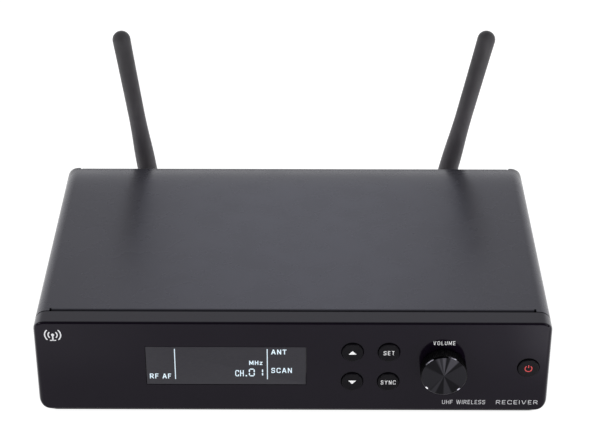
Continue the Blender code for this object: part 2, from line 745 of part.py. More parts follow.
def make_antenna(side):
    """One antenna: a bayonet collar, a knuckle which turns in it, the knuckle's pin and the rod,
    stood up from the pin and leaning sideways."""
    x = BNC_PLACES[side]
    aims = []
    for name, nod in (("knuckle", 0), ("rod", NODS[side])):
        aim = bpy.data.objects.new(f"antenna_{side}_{name}_aim", None)
        aim.location = (x, FRONT + PIN_DEPTH, BNC_Z)
        aim.rotation_euler = (math.radians(nod), math.radians(LEANS[side]), 0)
        aim.hide_render = True
        cutters.objects.link(aim)
        aims.append(aim)
    place = (x, 0, BNC_Z)
    collar = [
        (5.65 * MM, 122 * MM),
        (5.65 * MM, 132.3 * MM),
        (4.7 * MM, 132.3 * MM),
        (4.7 * MM, 133.6 * MM),
        (6.6 * MM, 133.6 * MM),
        (7.2 * MM, 132.6 * MM),
        (7.2 * MM, 122 * MM),
    ]
    turned(f"antenna_{side}_collar", collar, place, FACING_BACK, "nickel", 24)
    make_knuckle(side, aims[0])
    make_rod(side, aims[1])


def child_of(aim, obj):
    """Puts obj, made about the frame's origin, on the aim's axes."""
    obj.parent = aim
    return obj


def at_origin(depth=0, x=0, z=0):
    """The place which box, cylinder and plate turn into (x, depth, z) about the frame's origin."""
    return (x, depth - FRONT, z)


def ear_outline(radius, reach):
    """A half round about the origin with straight sides running to -reach, as (along, up)."""
    steps = 8
    points = [(-reach, radius), (-reach, -radius)]
    for step in range(steps + 1):
        angle = TURN / 2 * (step / steps - 0.5)
        points.append((radius * math.cos(angle), radius * math.sin(angle)))
    return points


def make_knuckle(side, aim):
    """The knuckle: spigot, captive flange and neck in the collar, then two ears with the pin."""
    stem = [
        (0, -5 * MM),
        (4.3 * MM, -5 * MM),
        (4.3 * MM, -8.0 * MM),
        (5.3 * MM, -8.0 * MM),
        (5.3 * MM, -8.8 * MM),
        (3.8 * MM, -8.8 * MM),
        (3.8 * MM, -14.5 * MM),
        (0, -14.5 * MM),
    ]
    fork = plate(
        f"antenna_{side}_knuckle",
        ear_outline(KNUCKLE_RADIUS, 5.9 * MM),
        2 * PIN_HALF,
        at_origin(),
        ACROSS,
        "antenna_black",
    )
    child_of(aim, fork)
    join(fork, child_of(aim, turned(f"stem_{side}", stem, at_origin(), FACING_BACK, steps=16)))
    slot_half = TONGUE_HALF + FINE_GAP
    slot = box(
        f"slot_{side}",
        at_origin(-4.9 * MM, -slot_half, -6 * MM),
        at_origin(6 * MM, slot_half, 6 * MM),
    )
    cut(fork, child_of(aim, slot), pin_hole(f"ear_hole_{side}", aim))
    name = f"antenna_{side}_pin"
    reach = PIN_HALF
    pin = cylinder(name, at_origin(), FACING_RIGHT, PIN_RADIUS, -reach, reach, "nickel", 12)
    child_of(aim, pin)


def pin_hole(name, aim):
    hole = cylinder(name, at_origin(), FACING_RIGHT, PIN_HOLE, -6 * MM, 6 * MM, sides=12)
    return child_of(aim, hole)


def make_rod(side, aim):
    """The rod: a tongue on the pin, then a thick foot, a waist and a long stem which widens a
    little to its domed tip."""
    tip = 3.9 * MM
    profile = [(0, ROD_LENGTH)]
    steps = 6
    for step in range(1, steps + 1):
        angle = TURN / 4 * step / steps
        profile.append((tip * math.sin(angle), ROD_LENGTH - tip * (1 - math.cos(angle))))
    profile += [
        (3.8 * MM, 68 * MM),
        (3.68 * MM, 46 * MM),
        (3.65 * MM, 35.5 * MM),
        (3.85 * MM, 28 * MM),
        (4.15 * MM, 21.5 * MM),
        (4.28 * MM, 17 * MM),
        (4.35 * MM, 12 * MM),
        (4.35 * MM, 6.5 * MM),
        (3.8 * MM, 6.0 * MM),
        (0, 6.0 * MM),
    ]
    rod = turned(f"antenna_{side}_rod", profile, at_origin(), FACING_UP, "antenna_black", 16)
    child_of(aim, rod)
    tongue = plate(
        f"tongue_{side}",
        [(up, -out) for out, up in ear_outline(4.3 * MM, 7.5 * MM)],
        2 * TONGUE_HALF,
        at_origin(),
        ACROSS,
    )
    join(rod, child_of(aim, tongue))
    cut(rod, pin_hole(f"tongue_hole_{side}", aim))


def make_pan_screw(name, place, facing, head, shank, length):
    """A pan-headed screw: place is where its head's seat meets the piece that it holds."""
    seat = 2.5 * MM
    profile = [
        (0, seat + 1.5 * MM),
        (head * 0.6, seat + 1.5 * MM),
        (head, seat + 0.7 * MM),
        (head, seat),
        (shank, seat),
        (shank, seat - length),
        (0, seat - length),
    ]
    turned(name, profile, place, facing, "screw_black", 12)


def make_screws_and_feet():
    flat_head = [
        (0, -0.05 * MM),
        (2.8 * MM, -0.05 * MM),
        (2.8 * MM, -SHEET),
        (1.4 * MM, -SHEET),
        (1.4 * MM, -7 * MM),
        (0, -7 * MM),
    ]
    for end, depth in SIDE_SCREWS.items():
        for side, facing, x in (("left", FACING_LEFT, -HALF_WIDTH), ("right", FACING_RIGHT, HALF_WIDTH)):
            place = (x, depth, SIDE_SCREW_Z)
            turned(f"side_screw_{end}_{side}", flat_head, place, facing, "screw_black", 12)
    for side, (x, z) in zip(("left", "right"), LID_SCREW_PLACES):
        lid_face = (x, FOLD_END - 2.2 * MM, z)
        make_pan_screw(f"lid_screw_{side}", lid_face, FACING_BACK, 2.6 * MM, 1.4 * MM, 7 * MM)
    for side, x in BEZEL_SCREWS.items():
        under_floor = (x, BEZEL_SCREW_DEPTH, BASE_Z + 2.3 * MM)
        make_pan_screw(f"bezel_screw_{side}", under_floor, FACING_DOWN, 2.4 * MM, 1.3 * MM, 3.7 * MM)
    foot = [
        (0, FOOT_HEIGHT - FINE_GAP),
        (5.5 * MM, FOOT_HEIGHT - FINE_GAP),
        (5.5 * MM, 0.6 * MM),
        (4.9 * MM, 0),
        (0, 0),
    ]
    for name, (x, depth) in FOOT_PLACES.items():
        turned(f"foot_{name}", foot, (x * MM, depth * MM, 0), FACING_UP, "rubber_black", 20)


clear_scene()
parts = new_collection("wireless_receiver")
cutters = new_collection("cutters")
make_materials()
make_lid()
make_chassis()
make_bezel()
make_display()
make_buttons()
make_knob()
make_boards()
make_xlr()
make_jack_and_dc()
make_cord_hook()
for side_name, socket_x in BNC_PLACES.items():
    make_bnc(side_name, socket_x)
    make_antenna(side_name)
make_screws_and_feet()
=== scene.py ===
"""The looks of the half-rack wireless receiver: fine surfaces, materials, lettering, light and camera.

Lengths are in millimetres, and become metres where a mesh, a shader or an object's placing takes them.
The frame is the CAD model's: +X to the right of someone facing the front, +Y to the back, +Z up. Depths
are counted backwards from the front panel's face.
"""

import json
import math

import bmesh
import bpy
from mathutils import Matrix, Vector


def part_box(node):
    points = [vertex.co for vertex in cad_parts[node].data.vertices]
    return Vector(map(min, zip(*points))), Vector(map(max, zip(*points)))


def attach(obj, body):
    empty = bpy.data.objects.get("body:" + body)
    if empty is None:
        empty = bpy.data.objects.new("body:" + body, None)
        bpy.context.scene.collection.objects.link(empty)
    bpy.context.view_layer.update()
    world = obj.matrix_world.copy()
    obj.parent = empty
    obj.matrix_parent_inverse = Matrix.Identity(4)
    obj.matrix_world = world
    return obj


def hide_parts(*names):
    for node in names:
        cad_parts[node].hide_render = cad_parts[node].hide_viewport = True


MM = 0.001
TURN = 2 * math.pi

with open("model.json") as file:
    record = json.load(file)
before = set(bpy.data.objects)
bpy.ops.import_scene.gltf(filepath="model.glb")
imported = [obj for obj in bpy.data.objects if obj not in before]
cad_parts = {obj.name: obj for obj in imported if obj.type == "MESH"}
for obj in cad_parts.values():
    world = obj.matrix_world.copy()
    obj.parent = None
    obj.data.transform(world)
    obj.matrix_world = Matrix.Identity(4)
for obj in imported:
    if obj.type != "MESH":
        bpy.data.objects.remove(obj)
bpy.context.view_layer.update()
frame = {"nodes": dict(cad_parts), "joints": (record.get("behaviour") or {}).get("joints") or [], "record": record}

FRONT = round(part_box("front_bezel")[0].y / MM, 5)


def box(node):
    """The low and high corners of a CAD node's box, with depths as Y."""
    shift = (0, FRONT, 0)
    return [Vector([round(c[i] / MM - shift[i], 5) for i in range(3)]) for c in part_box(node)]


def middle(node):
    low, high = box(node)
    return (low + high) / 2


def axis_of(node, depth=0):
    """The place at that depth on the front-to-back axis of a CAD node."""
    centre = middle(node)
    return centre.x, depth, centre.z


panel_low, panel_high = box("front_bezel")
lid_low, lid_high = box("top_cover")
BASE_Z, TOP_Z = panel_low.z, panel_high.z
MID_Z = (BASE_Z + TOP_Z) / 2
HALF_WIDTH = panel_high.x

# Sizes repeated from the CAD model, where the frame's boxes don't give them
SHEET = 0.8
CORNER = 4.8
BEZEL_DEPTH = 7.1
REAR_PANEL = 118.0
FOLD_START = 8.2
WINDOW_FLANGE = 2.1
SOCKET_SEAT = REAR_PANEL - SHEET - 0.3
# Sizes that are a little different here, or only here
FOLD_END = 119.9
BUTTON_HOLE = 4.25
KNOB_HOLE = 3.9
BUTTON_DISH = 0.12
TIGHT_RIM = 0.9
SOFT_RIM = 2.3
TOP_DRAFT = 0.73

BUTTONS = ("up", "down", "set", "sync", "power")
SIDES = ("left", "right")

FACING_FRONT = Matrix.Rotation(TURN / 4, 4, "X")
FACING_BACK = Matrix.Rotation(-TURN / 4, 4, "X")
FACING_UP = Matrix.Identity(4)
FACING_DOWN = Matrix.Rotation(TURN / 2, 4, "X")
FACING_RIGHT = Matrix.Rotation(TURN / 4, 4, "Y")
FACING_LEFT = Matrix.Rotation(-TURN / 4, 4, "Y")
ACROSS = Matrix.Rotation(TURN / 4, 4, "Z") @ FACING_FRONT


# ---------------------------------------------------------------- materials


class Nodes:
    """A node tree, with short ways to add to it."""

    def __init__(self, tree):
        self.tree = tree

    def node(self, kind, **settings):
        made = self.tree.nodes.new(kind)
        for key, value in settings.items():
            setattr(made, key, value)
        return made

    def link(self, source, target):
        self.tree.links.new(source, target)

    def math(self, operation, source, value=0.0):
        """The source worked on by value, which is a number or another output."""
        made = self.node("ShaderNodeMath", operation=operation)
        self.link(source, made.inputs[0])
        if isinstance(value, (int, float)):
            made.inputs[1].default_value = value
        else:
            self.link(value, made.inputs[1])
        return made.outputs["Value"]

    def mapped_range(self, source, start, end, low, high):
        made = self.node("ShaderNodeMapRange", interpolation_type="SMOOTHSTEP")
        values = (start, end, low, high)
        for socket, value in zip(("From Min", "From Max", "To Min", "To Max"), values):
            made.inputs[socket].default_value = value
        self.link(source, made.inputs["Value"])
        return made.outputs["Result"]


class Finish(Nodes):
    """A node material built up round one Principled shader, in the piece's own coordinates."""

    def __init__(self, name, colour, roughness, metallic=0.0, specular=0.5):
        self.material = bpy.data.materials.new(name)
        self.material.use_nodes = True
        super().__init__(self.material.node_tree)
        self.shader = self.tree.nodes["Principled BSDF"]
        self.set("Base Color", (*colour, 1))
        self.set("Roughness", roughness)
        self.set("Metallic", metallic)
        self.set("Specular IOR Level", specular)
        self.coordinates = self.node("ShaderNodeTexCoord").outputs["Object"]
        self.relief = None

    def set(self, socket, value):
        self.shader.inputs[socket].default_value = value

    def drive(self, socket, source):
        self.link(source, self.shader.inputs[socket])

    def noise(self, size, detail=2.0, stretch=(1, 1, 1)):
        """Noise whose features are about size across."""
        mapping = self.node("ShaderNodeMapping")
        mapping.inputs["Scale"].default_value = stretch
        self.link(self.coordinates, mapping.inputs["Vector"])
        made = self.node("ShaderNodeTexNoise")
        made.inputs["Scale"].default_value = 1 / (size * MM)
        made.inputs["Detail"].default_value = detail
        self.link(mapping.outputs["Vector"], made.inputs["Vector"])
        return made.outputs["Fac"]

    def waves(self, size, direction, kind="bands", distortion=0.0):
        """Bands across a direction, or rings about it."""
        made = self.node("ShaderNodeTexWave", wave_type=kind.upper())
        setattr(made, f"{kind}_direction", direction)
        made.inputs["Scale"].default_value = 1 / (size * MM)
        made.inputs["Distortion"].default_value = distortion
        self.link(self.coordinates, made.inputs["Vector"])
        return made.outputs["Fac"]

    def along(self, axis):
        """How far along one of its own axes a point of the piece lies."""
        split = self.node("ShaderNodeSeparateXYZ")
        self.link(self.coordinates, split.inputs["Vector"])
        return self.math("MULTIPLY", split.outputs[axis], 1 / MM)

    def ramp(self, source, stops):
        """Colours or greys against a factor: stops are (position, grey or colour)."""
        made = self.node("ShaderNodeValToRGB")
        elements = made.color_ramp.elements
        while len(elements) < len(stops):
            elements.new(0.5)
        for element, (position, value) in zip(elements, stops):
            element.position = position
            colour = value if isinstance(value, tuple) else (value,) * 3
            element.color = (*colour, 1)
        self.link(source, made.inputs["Fac"])
        return made.outputs["Color"]

    def mixed(self, factor, first, second, blend="MIX"):
        """The first colour, with the second laid over it by that factor."""
        made = self.node("ShaderNodeMix", data_type="RGBA", blend_type=blend)
        self.link(factor, made.inputs["Factor"])
        self.link(first, made.inputs[6])
        self.link(second, made.inputs[7])
        return made.outputs[2]

    def bump(self, source, height, strength=1.0):
        """Adds relief of about that height, on top of any relief there already."""
        made = self.node("ShaderNodeBump")
        made.inputs["Distance"].default_value = height * MM
        made.inputs["Strength"].default_value = strength
        self.link(source, made.inputs["Height"])
        if self.relief:
            self.link(self.relief, made.inputs["Normal"])
        self.relief = made.outputs["Normal"]
        self.drive("Normal", self.relief)


def mottled(name, base, colours=None, roughness=None, relief=None):
    """A finish varied by noise. base is its colour, roughness, metallic and specular. The others start
    with noise's own size, detail and stretch, and end with the colour stops, with the range of
    roughness, and with the relief's height and strength."""
    finish = Finish(name, *base)
    if colours:
        *noise, stops = colours
        finish.drive("Base Color", finish.ramp(finish.noise(*noise), stops))
    if roughness:
        *noise, low, high = roughness
        finish.drive("Roughness", finish.mapped_range(finish.noise(*noise), 0.3, 0.7, low, high))
    if relief:
        *noise, height, strength = relief
        finish.bump(finish.noise(*noise), height, strength)
    return finish


SURFACES = {
    "chassis_paint": [
        ((0.02, 0.02, 0.022), 0.45),
        (30, 3, [(0.3, (0.016, 0.016, 0.018)), (0.7, (0.022, 0.022, 0.025))]),
        (9, 3, 0.42, 0.52),
        (0.5, 2, 0.014, 0.6),
    ],
    # The display's clear front over its grey filter, with faint crosswise lines
    "window_grey": [
        ((0.05, 0.05, 0.055), 0.12, 0, 0.2),
        (0.25, 2, (0.15, 1, 1), [(0.35, (0.035, 0.0333, 0.042)), (0.65, (0.040, 0.0383, 0.047))]),
        (8, 3, 0.1, 0.16),
        (0.5, 1, 0.0006, 0.4),
    ],
    "button_black": [
        ((0.005, 0.005, 0.006), 0.34, 0, 0.09),
        (3, 3, [(0.3, (0.0040, 0.0034, 0.0052)), (0.7, (0.0056, 0.0048, 0.0070))]),
        (1.5, 3, 0.26, 0.34),
        (0.18, 2, 0.004, 0.5),
    ],
    "knob_black": [
        ((0.006, 0.006, 0.0065), 0.42, 0, 0.2),
        (2, 3, [(0.3, (0.005, 0.0048, 0.0056)), (0.7, (0.009, 0.0087, 0.0098))]),
        (1, 3, 0.36, 0.5),
        (0.12, 2, 0.004, 0.5),
    ],
    "rubber_black": [
        ((0.012, 0.012, 0.012), 0.8, 0, 0.3),
        (1.5, 4, [(0.3, (0.009, 0.009, 0.009)), (0.75, (0.02, 0.02, 0.021))]),
        None,
        (0.3, 3, 0.02, 0.6),
    ],
    # Bright plate with turning marks and a faint warm bloom
    "nickel": [
        ((0.62, 0.6, 0.56), 0.22, 1),
        (5, 3, [(0.3, (0.55, 0.53, 0.49)), (0.7, (0.68, 0.66, 0.62))]),
        (1.2, 4, (1, 1, 8), 0.17, 0.32),
        (0.2, 1, (0.05, 0.05, 6), 0.002, 0.5),
    ],
    "connector_black": [
        ((0.012, 0.012, 0.013), 0.45, 0, 0.4),
        (3, 3, [(0.3, (0.009, 0.009, 0.010)), (0.7, (0.016, 0.016, 0.017))]),
        (1.5, 3, 0.4, 0.52),
        (0.25, 2, 0.008, 0.6),
    ],
    "screw_black": [
        ((0.04, 0.04, 0.043), 0.32, 1),
        (0.9, 4, [(0.3, (0.028, 0.028, 0.03)), (0.75, (0.07, 0.068, 0.068))]),
        (0.6, 3, 0.26, 0.45),
        (0.15, 2, 0.003, 0.5),
    ],
    "tinplate": [
        ((0.6, 0.6, 0.6), 0.3, 1),
        (6, 3, [(0.3, (0.5, 0.5, 0.49)), (0.7, (0.68, 0.68, 0.68))]),
        (1, 4, (0.1, 1, 1), 0.24, 0.42),
    ],
    "lcd_glass": [
        ((0.05, 0.055, 0.052), 0.1),
        (10, 2, [(0.3, (0.044, 0.05, 0.046)), (0.7, (0.056, 0.062, 0.058))]),
    ],
}


def lid_paint():
    """Charcoal powder coat: fine orange peel, faint cloudiness and a slightly blue cast. The sheet
    droops a little towards the fold at its back."""
    cloud = (45, 3, [(0.3, (0.0468, 0.0462, 0.0565)), (0.7, (0.0518, 0.0512, 0.0625))])
    finish = mottled("lid_paint", ((0.05, 0.05, 0.06), 0.27), cloud, (12, 4, 0.25, 0.29))
    finish.set("Specular Tint", (0.91, 0.875, 1.0, 1))
    behind = finish.math("SUBTRACT", finish.along("Y"), FRONT + FOLD_END)
    droop = finish.math("EXPONENT", finish.math("DIVIDE", behind, 5.5))
    finish.bump(finish.math("MULTIPLY", droop, -1), 1.7)
    finish.bump(finish.noise(0.5, 2), 0.002, 0.5)
    finish.bump(finish.noise(0.16, 1), 0.0015, 0.5)
    return finish.material


def panel_black():
    """Moulded black plastic. Its face has a dim, smooth film over it, and its rim is bare."""
    cloud = (28, 3, [(0.3, (0.0056, 0.0034, 0.0078)), (0.7, (0.0068, 0.0044, 0.0092))])
    base = ((0.006, 0.006, 0.007), 0.2, 0, 0.155)
    finish = mottled("panel_black", base, cloud, (6, 4, 0.08, 0.12), (0.3, 2, 0.0012, 0.5))
    finish.set("Specular Tint", (0.93, 0.92, 1.0, 1))
    finish.drive("Specular IOR Level", finish.mapped_range(finish.along("Z"), -1.2, -0.5, 0.93, 0.155))
    return finish.material


def disc_metal():
    """Dark anodised metal spun with fine rings. Light and dark wedges of sheen are painted into its
    colour round the dial, and painted highlights on its chamfer make two thin curved streaks above and two short
    glints below."""
    finish = Finish("disc_metal", (0.05, 0.05, 0.053), 0.32, metallic=1.0)
    spin = finish.node("ShaderNodeTexGradient", gradient_type="RADIAL")
    finish.link(finish.coordinates, spin.inputs["Vector"])
    flat = finish.node("ShaderNodeVectorMath", operation="MULTIPLY")
    flat.inputs[1].default_value = (1 / MM, 1 / MM, 0)
    finish.link(finish.coordinates, flat.inputs[0])
    radius = finish.node("ShaderNodeVectorMath", operation="LENGTH")
    finish.link(flat.outputs["Vector"], radius.inputs[0])

    def dial(hours):
        """Greys round the dial, from the hours at which they stand."""
        stops = sorted(((9 - hour) / 12 % 1, (grey, 0.97 * grey, 1.13 * grey)) for hour, grey in hours)
        return finish.ramp(spin.outputs["Fac"], stops)

    def beyond(start, end):
        return finish.mapped_range(radius.outputs["Value"], start, end, 0, 1)

    # Painted sheen: greys of the light and dark wedges, painted into the colour by their hour round the dial
    dark, plain, glint, light = 0.0105, 0.021, 0.03, 0.057
    painted_sheen_sectors = [
        (0.0, 1.15 * light), (0.08, light), (0.17, dark), (0.42, dark), (0.58, light), (1.2, light),
        (1.36, dark), (1.74, dark), (1.82, plain), (4.15, plain), (4.35, dark), (5.2, dark),
        (5.32, glint), (5.9, glint), (6.05, dark), (6.65, dark), (6.78, glint), (7.1, glint),
        (7.25, 0.7 * plain), (7.45, plain), (9.9, plain), (10.15, dark), (11.12, dark),
        (11.3, 0.6 * light), (11.46, 0.9 * light), (11.58, 0.4 * light), (11.76, 0.5 * light),
        (11.85, 1.15 * light),
    ]
    # Painted highlights on the chamfer: two thin curved streaks above and two short glints below
    black, painted_arc_shine, painted_glint_shine = 0.003, 0.2, 0.8
    arcs = [
        (0.0, black), (0.3, black), (0.38, painted_arc_shine), (0.95, painted_arc_shine), (1.05, black), (10.15, black),
        (10.25, painted_arc_shine), (10.95, painted_arc_shine), (11.05, black),
    ]
    painted_low_glints = [
        (0.0, black), (4.38, black), (4.45, painted_glint_shine), (4.63, painted_glint_shine), (4.7, black),
        (7.5, black), (7.57, 2 * painted_glint_shine), (7.73, 2 * painted_glint_shine), (7.8, black),
    ]
    # The painted sheen, with the painted chamfer highlights laid over it at the rim
    seen = finish.mixed(beyond(8.64, 8.72), dial(painted_sheen_sectors), dial(arcs))
    seen = finish.mixed(beyond(8.15, 8.35), seen, dial(painted_low_glints), "LIGHTEN")
    finish.drive("Base Color", seen)
    finish.bump(finish.waves(1.2, "Z", "rings"), 0.0015, 0.4)
    return finish.material


def antenna_black(name="antenna_black", painted_foot_light=1.0):
    """Soft-touch rubber over the rod, a little dusty along its length. Its colour is painted paler towards
    its foot, by up to the given factor: painted light, for the light that the lid keeps off the rod's lower part."""
    base = ((0.03, 0.03, 0.03), 0.58, 0, 0.4)
    finish = mottled(name, base, None, (3, 3, 0.5, 0.64), (0.2, 2, 0.008, 0.5))
    streak = finish.noise(2.5, 3, (1, 1, 0.25))
    dark, light = (0.037, 0.034, 0.039), (0.048, 0.045, 0.050)
    tip = finish.ramp(streak, [(0.3, dark), (0.7, light)])
    foot = finish.ramp(streak, [(0.3, tuple(painted_foot_light * c for c in dark)), (0.7, tuple(painted_foot_light * c for c in light))])
    # Painted light: fully paler up to 48 mm high, fading to none at 90 mm
    painted_light_mask = finish.mapped_range(finish.along("Z"), 48, 90, 1, 0)
    finish.drive("Base Color", finish.mixed(painted_light_mask, tip, foot))
    finish.set("Sheen Weight", 0.15)
    return finish.material


def board_green():
    """Solder mask over copper tracks, which show as faintly lighter lines."""
    finish = mottled("board_green", ((0.01, 0.09, 0.035), 0.35), None, (4, 2, 0.3, 0.42))
    tracks = finish.waves(2.4, "X", distortion=3.0)
    colours = [(0.45, (0.008, 0.07, 0.028)), (0.55, (0.016, 0.12, 0.05))]
    finish.drive("Base Color", finish.ramp(tracks, colours))
    finish.bump(tracks, 0.02, 0.5)
    return finish.material


def cable_grey():
    finish = Finish("cable_grey", (0.22, 0.22, 0.22), 0.5)
    cores = finish.waves(1.27, "X")
    finish.drive("Base Color", finish.ramp(cores, [(0.2, (0.15, 0.15, 0.155)), (0.6, (0.26, 0.26, 0.265))]))
    finish.bump(cores, 0.1, 0.5)
    return finish.material


def ink(name, colour, glow=0.3):
    """Screen-printing ink, a little uneven where the mesh laid it down, and made to glow a little,
    which is painted light, to read as white print does against black."""
    finish = Finish(name, colour, 0.55, specular=0.3)
    thin = tuple(0.86 * c for c in colour)
    laid = finish.ramp(finish.noise(0.12, 2), [(0.3, thin), (0.6, colour)])
    finish.drive("Base Color", laid)
    # Painted light: the ink glows in its own colour
    finish.drive("Emission Color", laid)
    finish.set("Emission Strength", glow)
    return finish.material


def lit(name, colour, glow):
    """A lit segment or symbol, which glows almost evenly."""
    finish = Finish(name, tuple(0.5 * c for c in colour), 0.3)
    thin = tuple(0.9 * c for c in colour)
    finish.drive("Emission Color", finish.ramp(finish.noise(0.5, 1), [(0.2, thin), (0.8, colour)]))
    finish.set("Emission Strength", glow)
    return finish.material


MATERIALS = {name: mottled(name, *rows).material for name, rows in SURFACES.items()}
MATERIALS |= {
    "lid_paint": lid_paint(),
    "panel_black": panel_black(),
    "disc_metal": disc_metal(),
    "antenna_black": antenna_black(),
    # The rods are painted up to 2.1 times paler at their foot: painted light
    "rod_black": antenna_black("rod_black", 2.1),
    "board_green": board_green(),
    "cable_grey": cable_grey(),
    "print_grey": ink("print_grey", (0.85, 0.85, 0.86)),
    "print_dim": ink("print_dim", (0.68, 0.68, 0.705), 0.26),
    # The red print on the power key is made to glow: painted light
    "print_red": lit("print_red", (0.62, 0.035, 0.04), 0.6),
    "display_lit": lit("display_lit", (0.62, 0.74, 0.82), 0.9),
}


def dress_cad_nodes():
    """Gives every CAD node the material of its slot in the record."""
    for row in frame["record"]["subparts"]:
        mesh = frame["nodes"][row["node"]].data
        mesh.materials.clear()
        mesh.materials.append(MATERIALS[row["material_slot"]])


# ---------------------------------------------------------------- shapes


def polar(radius, angle):
    return radius * math.cos(angle), radius * math.sin(angle)


def rounded(points, radius, steps=4):
    """The polyline with its inner corners rounded off. A point may carry its own radius third."""
    out = [tuple(points[0][:2])]
    for before, here, after in zip(points, points[1:], points[2:]):
        corner = Vector(here[:2])
        reach = here[2] if len(here) > 2 else radius
        if not reach:
            out.append(tuple(corner))
            continue
        back = Vector(before[:2]) - corner
        ahead = Vector(after[:2]) - corner
        reach = min(reach, 0.48 * back.length, 0.48 * ahead.length)
        start = corner + reach * back.normalized()
        end = corner + reach * ahead.normalized()
        for step in range(steps + 1):
            t = step / steps
            out.append(tuple(start * (1 - t) ** 2 + corner * 2 * t * (1 - t) + end * t**2))
    out.append(tuple(points[-1][:2]))
    return out


def arc(steps):
    """Angles from 0 to a quarter turn."""
    return [TURN / 4 * step / steps for step in range(steps + 1)]


def rectangle(width, height, radius, steps=6):
    """The points of a rectangle about the origin, with its corners as arcs."""
    points = []
    for quarter, (sign_x, sign_y) in enumerate(((1, 1), (-1, 1), (-1, -1), (1, -1))):
        for step in range(steps + 1):
            x, y = polar(radius, TURN / 4 * (quarter + step / steps))
            points.append((sign_x * (width / 2 - radius) + x, sign_y * (height / 2 - radius) + y))
    return points


def circle(radius, steps):
    return [polar(radius, TURN * i / steps) for i in range(steps)]


def box_outline(left, right, low, high):
    return [(left, low), (right, low), (right, high), (left, high)]


def tongue_outline(radius, reach, steps=20):
    """A half round about the origin with straight sides running to -reach."""
    nose = [polar(radius, TURN / 2 * (step / steps - 0.5)) for step in range(steps + 1)]
    return [(-reach, radius), (-reach, -radius)] + nose


def inset_outline(outline, inset):
    """The outline moved inwards by inset, each point along its corner's bisector."""
    if not inset:
        return outline
    out = []
    for i, point in enumerate(outline):
        here = Vector(point)
        back = (here - Vector(outline[i - 1])).normalized()
        ahead = (Vector(outline[(i + 1) % len(outline)]) - here).normalized()
        normal = Vector((-back.y - ahead.y, back.x + ahead.x)).normalized()
        spread = max(0.4, Vector((-back.y, back.x)).dot(normal))
        out.append(tuple(here + normal * inset / spread))
    return out


def vert(bm, x, y, z):
    return bm.verts.new((x * MM, y * MM, z * MM))


def level(bm, outline, z):
    return [vert(bm, x, y, z) for x, y in outline]


def as_mesh(bm, name):
    mesh = bpy.data.meshes.new(name)
    bm.to_mesh(mesh)
    bm.free()
    return mesh


def finished_mesh(bm, name, sharp=35):
    """Turns bm into a mesh with its faces pointing out, smooth except at its sharp edges."""
    bmesh.ops.recalc_face_normals(bm, faces=bm.faces)
    mesh = as_mesh(bm, name)
    mesh.shade_smooth()
    mesh.set_sharp_from_angle(angle=math.radians(sharp))
    return mesh


def bridge(bm, near, far):
    """Faces between two rings, either of which may be a single point on the axis."""
    count = max(len(near), len(far))
    for i in range(count):
        j = (i + 1) % count
        if len(near) == 1:
            bm.faces.new((near[0], far[i], far[j]))
        elif len(far) == 1:
            bm.faces.new((near[i], near[j], far[0]))
        else:
            bm.faces.new((near[i], near[j], far[j], far[i]))


def skinned(bm, rings, capped=True):
    """Faces from ring to ring, and over the two end rings."""
    for near, far in zip(rings, rings[1:]):
        bridge(bm, near, far)
    if capped:
        bm.faces.new(rings[0])
        bm.faces.new(rings[-1])


def lathe(name, profile, segments=48, shape=None):
    """A solid turned about Z: profile is (radius, height) from end to end. An open profile is a
    tube. shape(radius, height, angle) gives a radius that changes round the piece."""
    bm = bmesh.new()
    rings = []
    for radius, height in profile:
        if radius < 0.0001:
            rings.append([vert(bm, 0, 0, height)])
            continue
        ring = []
        for i in range(segments):
            angle = TURN * i / segments
            reach = shape(radius, height, angle) if shape else radius
            ring.append(vert(bm, *polar(reach, angle), height))
        rings.append(ring)
    if len(rings[0]) > 1:
        rings.append(rings[0])
    skinned(bm, rings, False)
    return finished_mesh(bm, name)


def drill(radius, high, low, segments):
    """A plain cylinder to cut with, between two heights."""
    return lathe("hole", [(0, high), (radius, high), (radius, low), (0, low)], segments)


def slab(name, outline, low, high, edge=0.0):
    """An outline in X and Y given a thickness from low to high, with its rims rounded by edge."""
    bm = bmesh.new()
    bends = [(edge * (1 - math.cos(a)), edge * (1 - math.sin(a))) for a in arc(2)] if edge else [(0, 0)]
    levels = [(low + rise, inset) for rise, inset in bends]
    levels += [(high - rise, inset) for rise, inset in bends[::-1]]
    skinned(bm, [level(bm, inset_outline(outline, inset), height) for height, inset in levels])
    return finished_mesh(bm, name, 50)


def linked(name, data, matrix=FACING_UP):
    """A new object in the scene."""
    obj = bpy.data.objects.new(name, data)
    bpy.context.scene.collection.objects.link(obj)
    obj.matrix_world = matrix
    return obj


def placed(mesh, place, facing=FACING_UP):
    """The mesh as an object at place, (x, depth, z), turned by facing."""
    x, depth, z = place
    return linked(mesh.name, mesh, Matrix.Translation(Vector((x, FRONT + depth, z)) * MM) @ facing)


def on_axes(mesh, axes, facing=FACING_UP):
    return linked(mesh.name, mesh, axes @ facing)


def applied(obj, operation, cutters):
    """Joins the cutters to obj or cuts them out of it, and removes them."""
    for cutter in cutters:
        boolean = obj.modifiers.new(cutter.name, "BOOLEAN")
        boolean.operation = operation
        boolean.object = cutter
        boolean.solver = "EXACT"
    graph = bpy.context.evaluated_depsgraph_get()
    mesh = bpy.data.meshes.new_from_object(obj.evaluated_get(graph))
    obj.modifiers.clear()
    obj.data = mesh
    bm = bmesh.new()
    bm.from_mesh(mesh)
    bmesh.ops.remove_doubles(bm, verts=bm.verts, dist=0.001 * MM)
    bmesh.ops.dissolve_degenerate(bm, edges=bm.edges, dist=0.001 * MM)
    bm.to_mesh(mesh)
    bm.free()
    mesh.shade_smooth()
    mesh.set_sharp_from_angle(angle=math.radians(35))
    for cutter in cutters:
        bpy.data.objects.remove(cutter)
    return obj


def cut(obj, *cutters):
    return applied(obj, "DIFFERENCE", cutters)


def join(obj, *others):
    return applied(obj, "UNION", others)


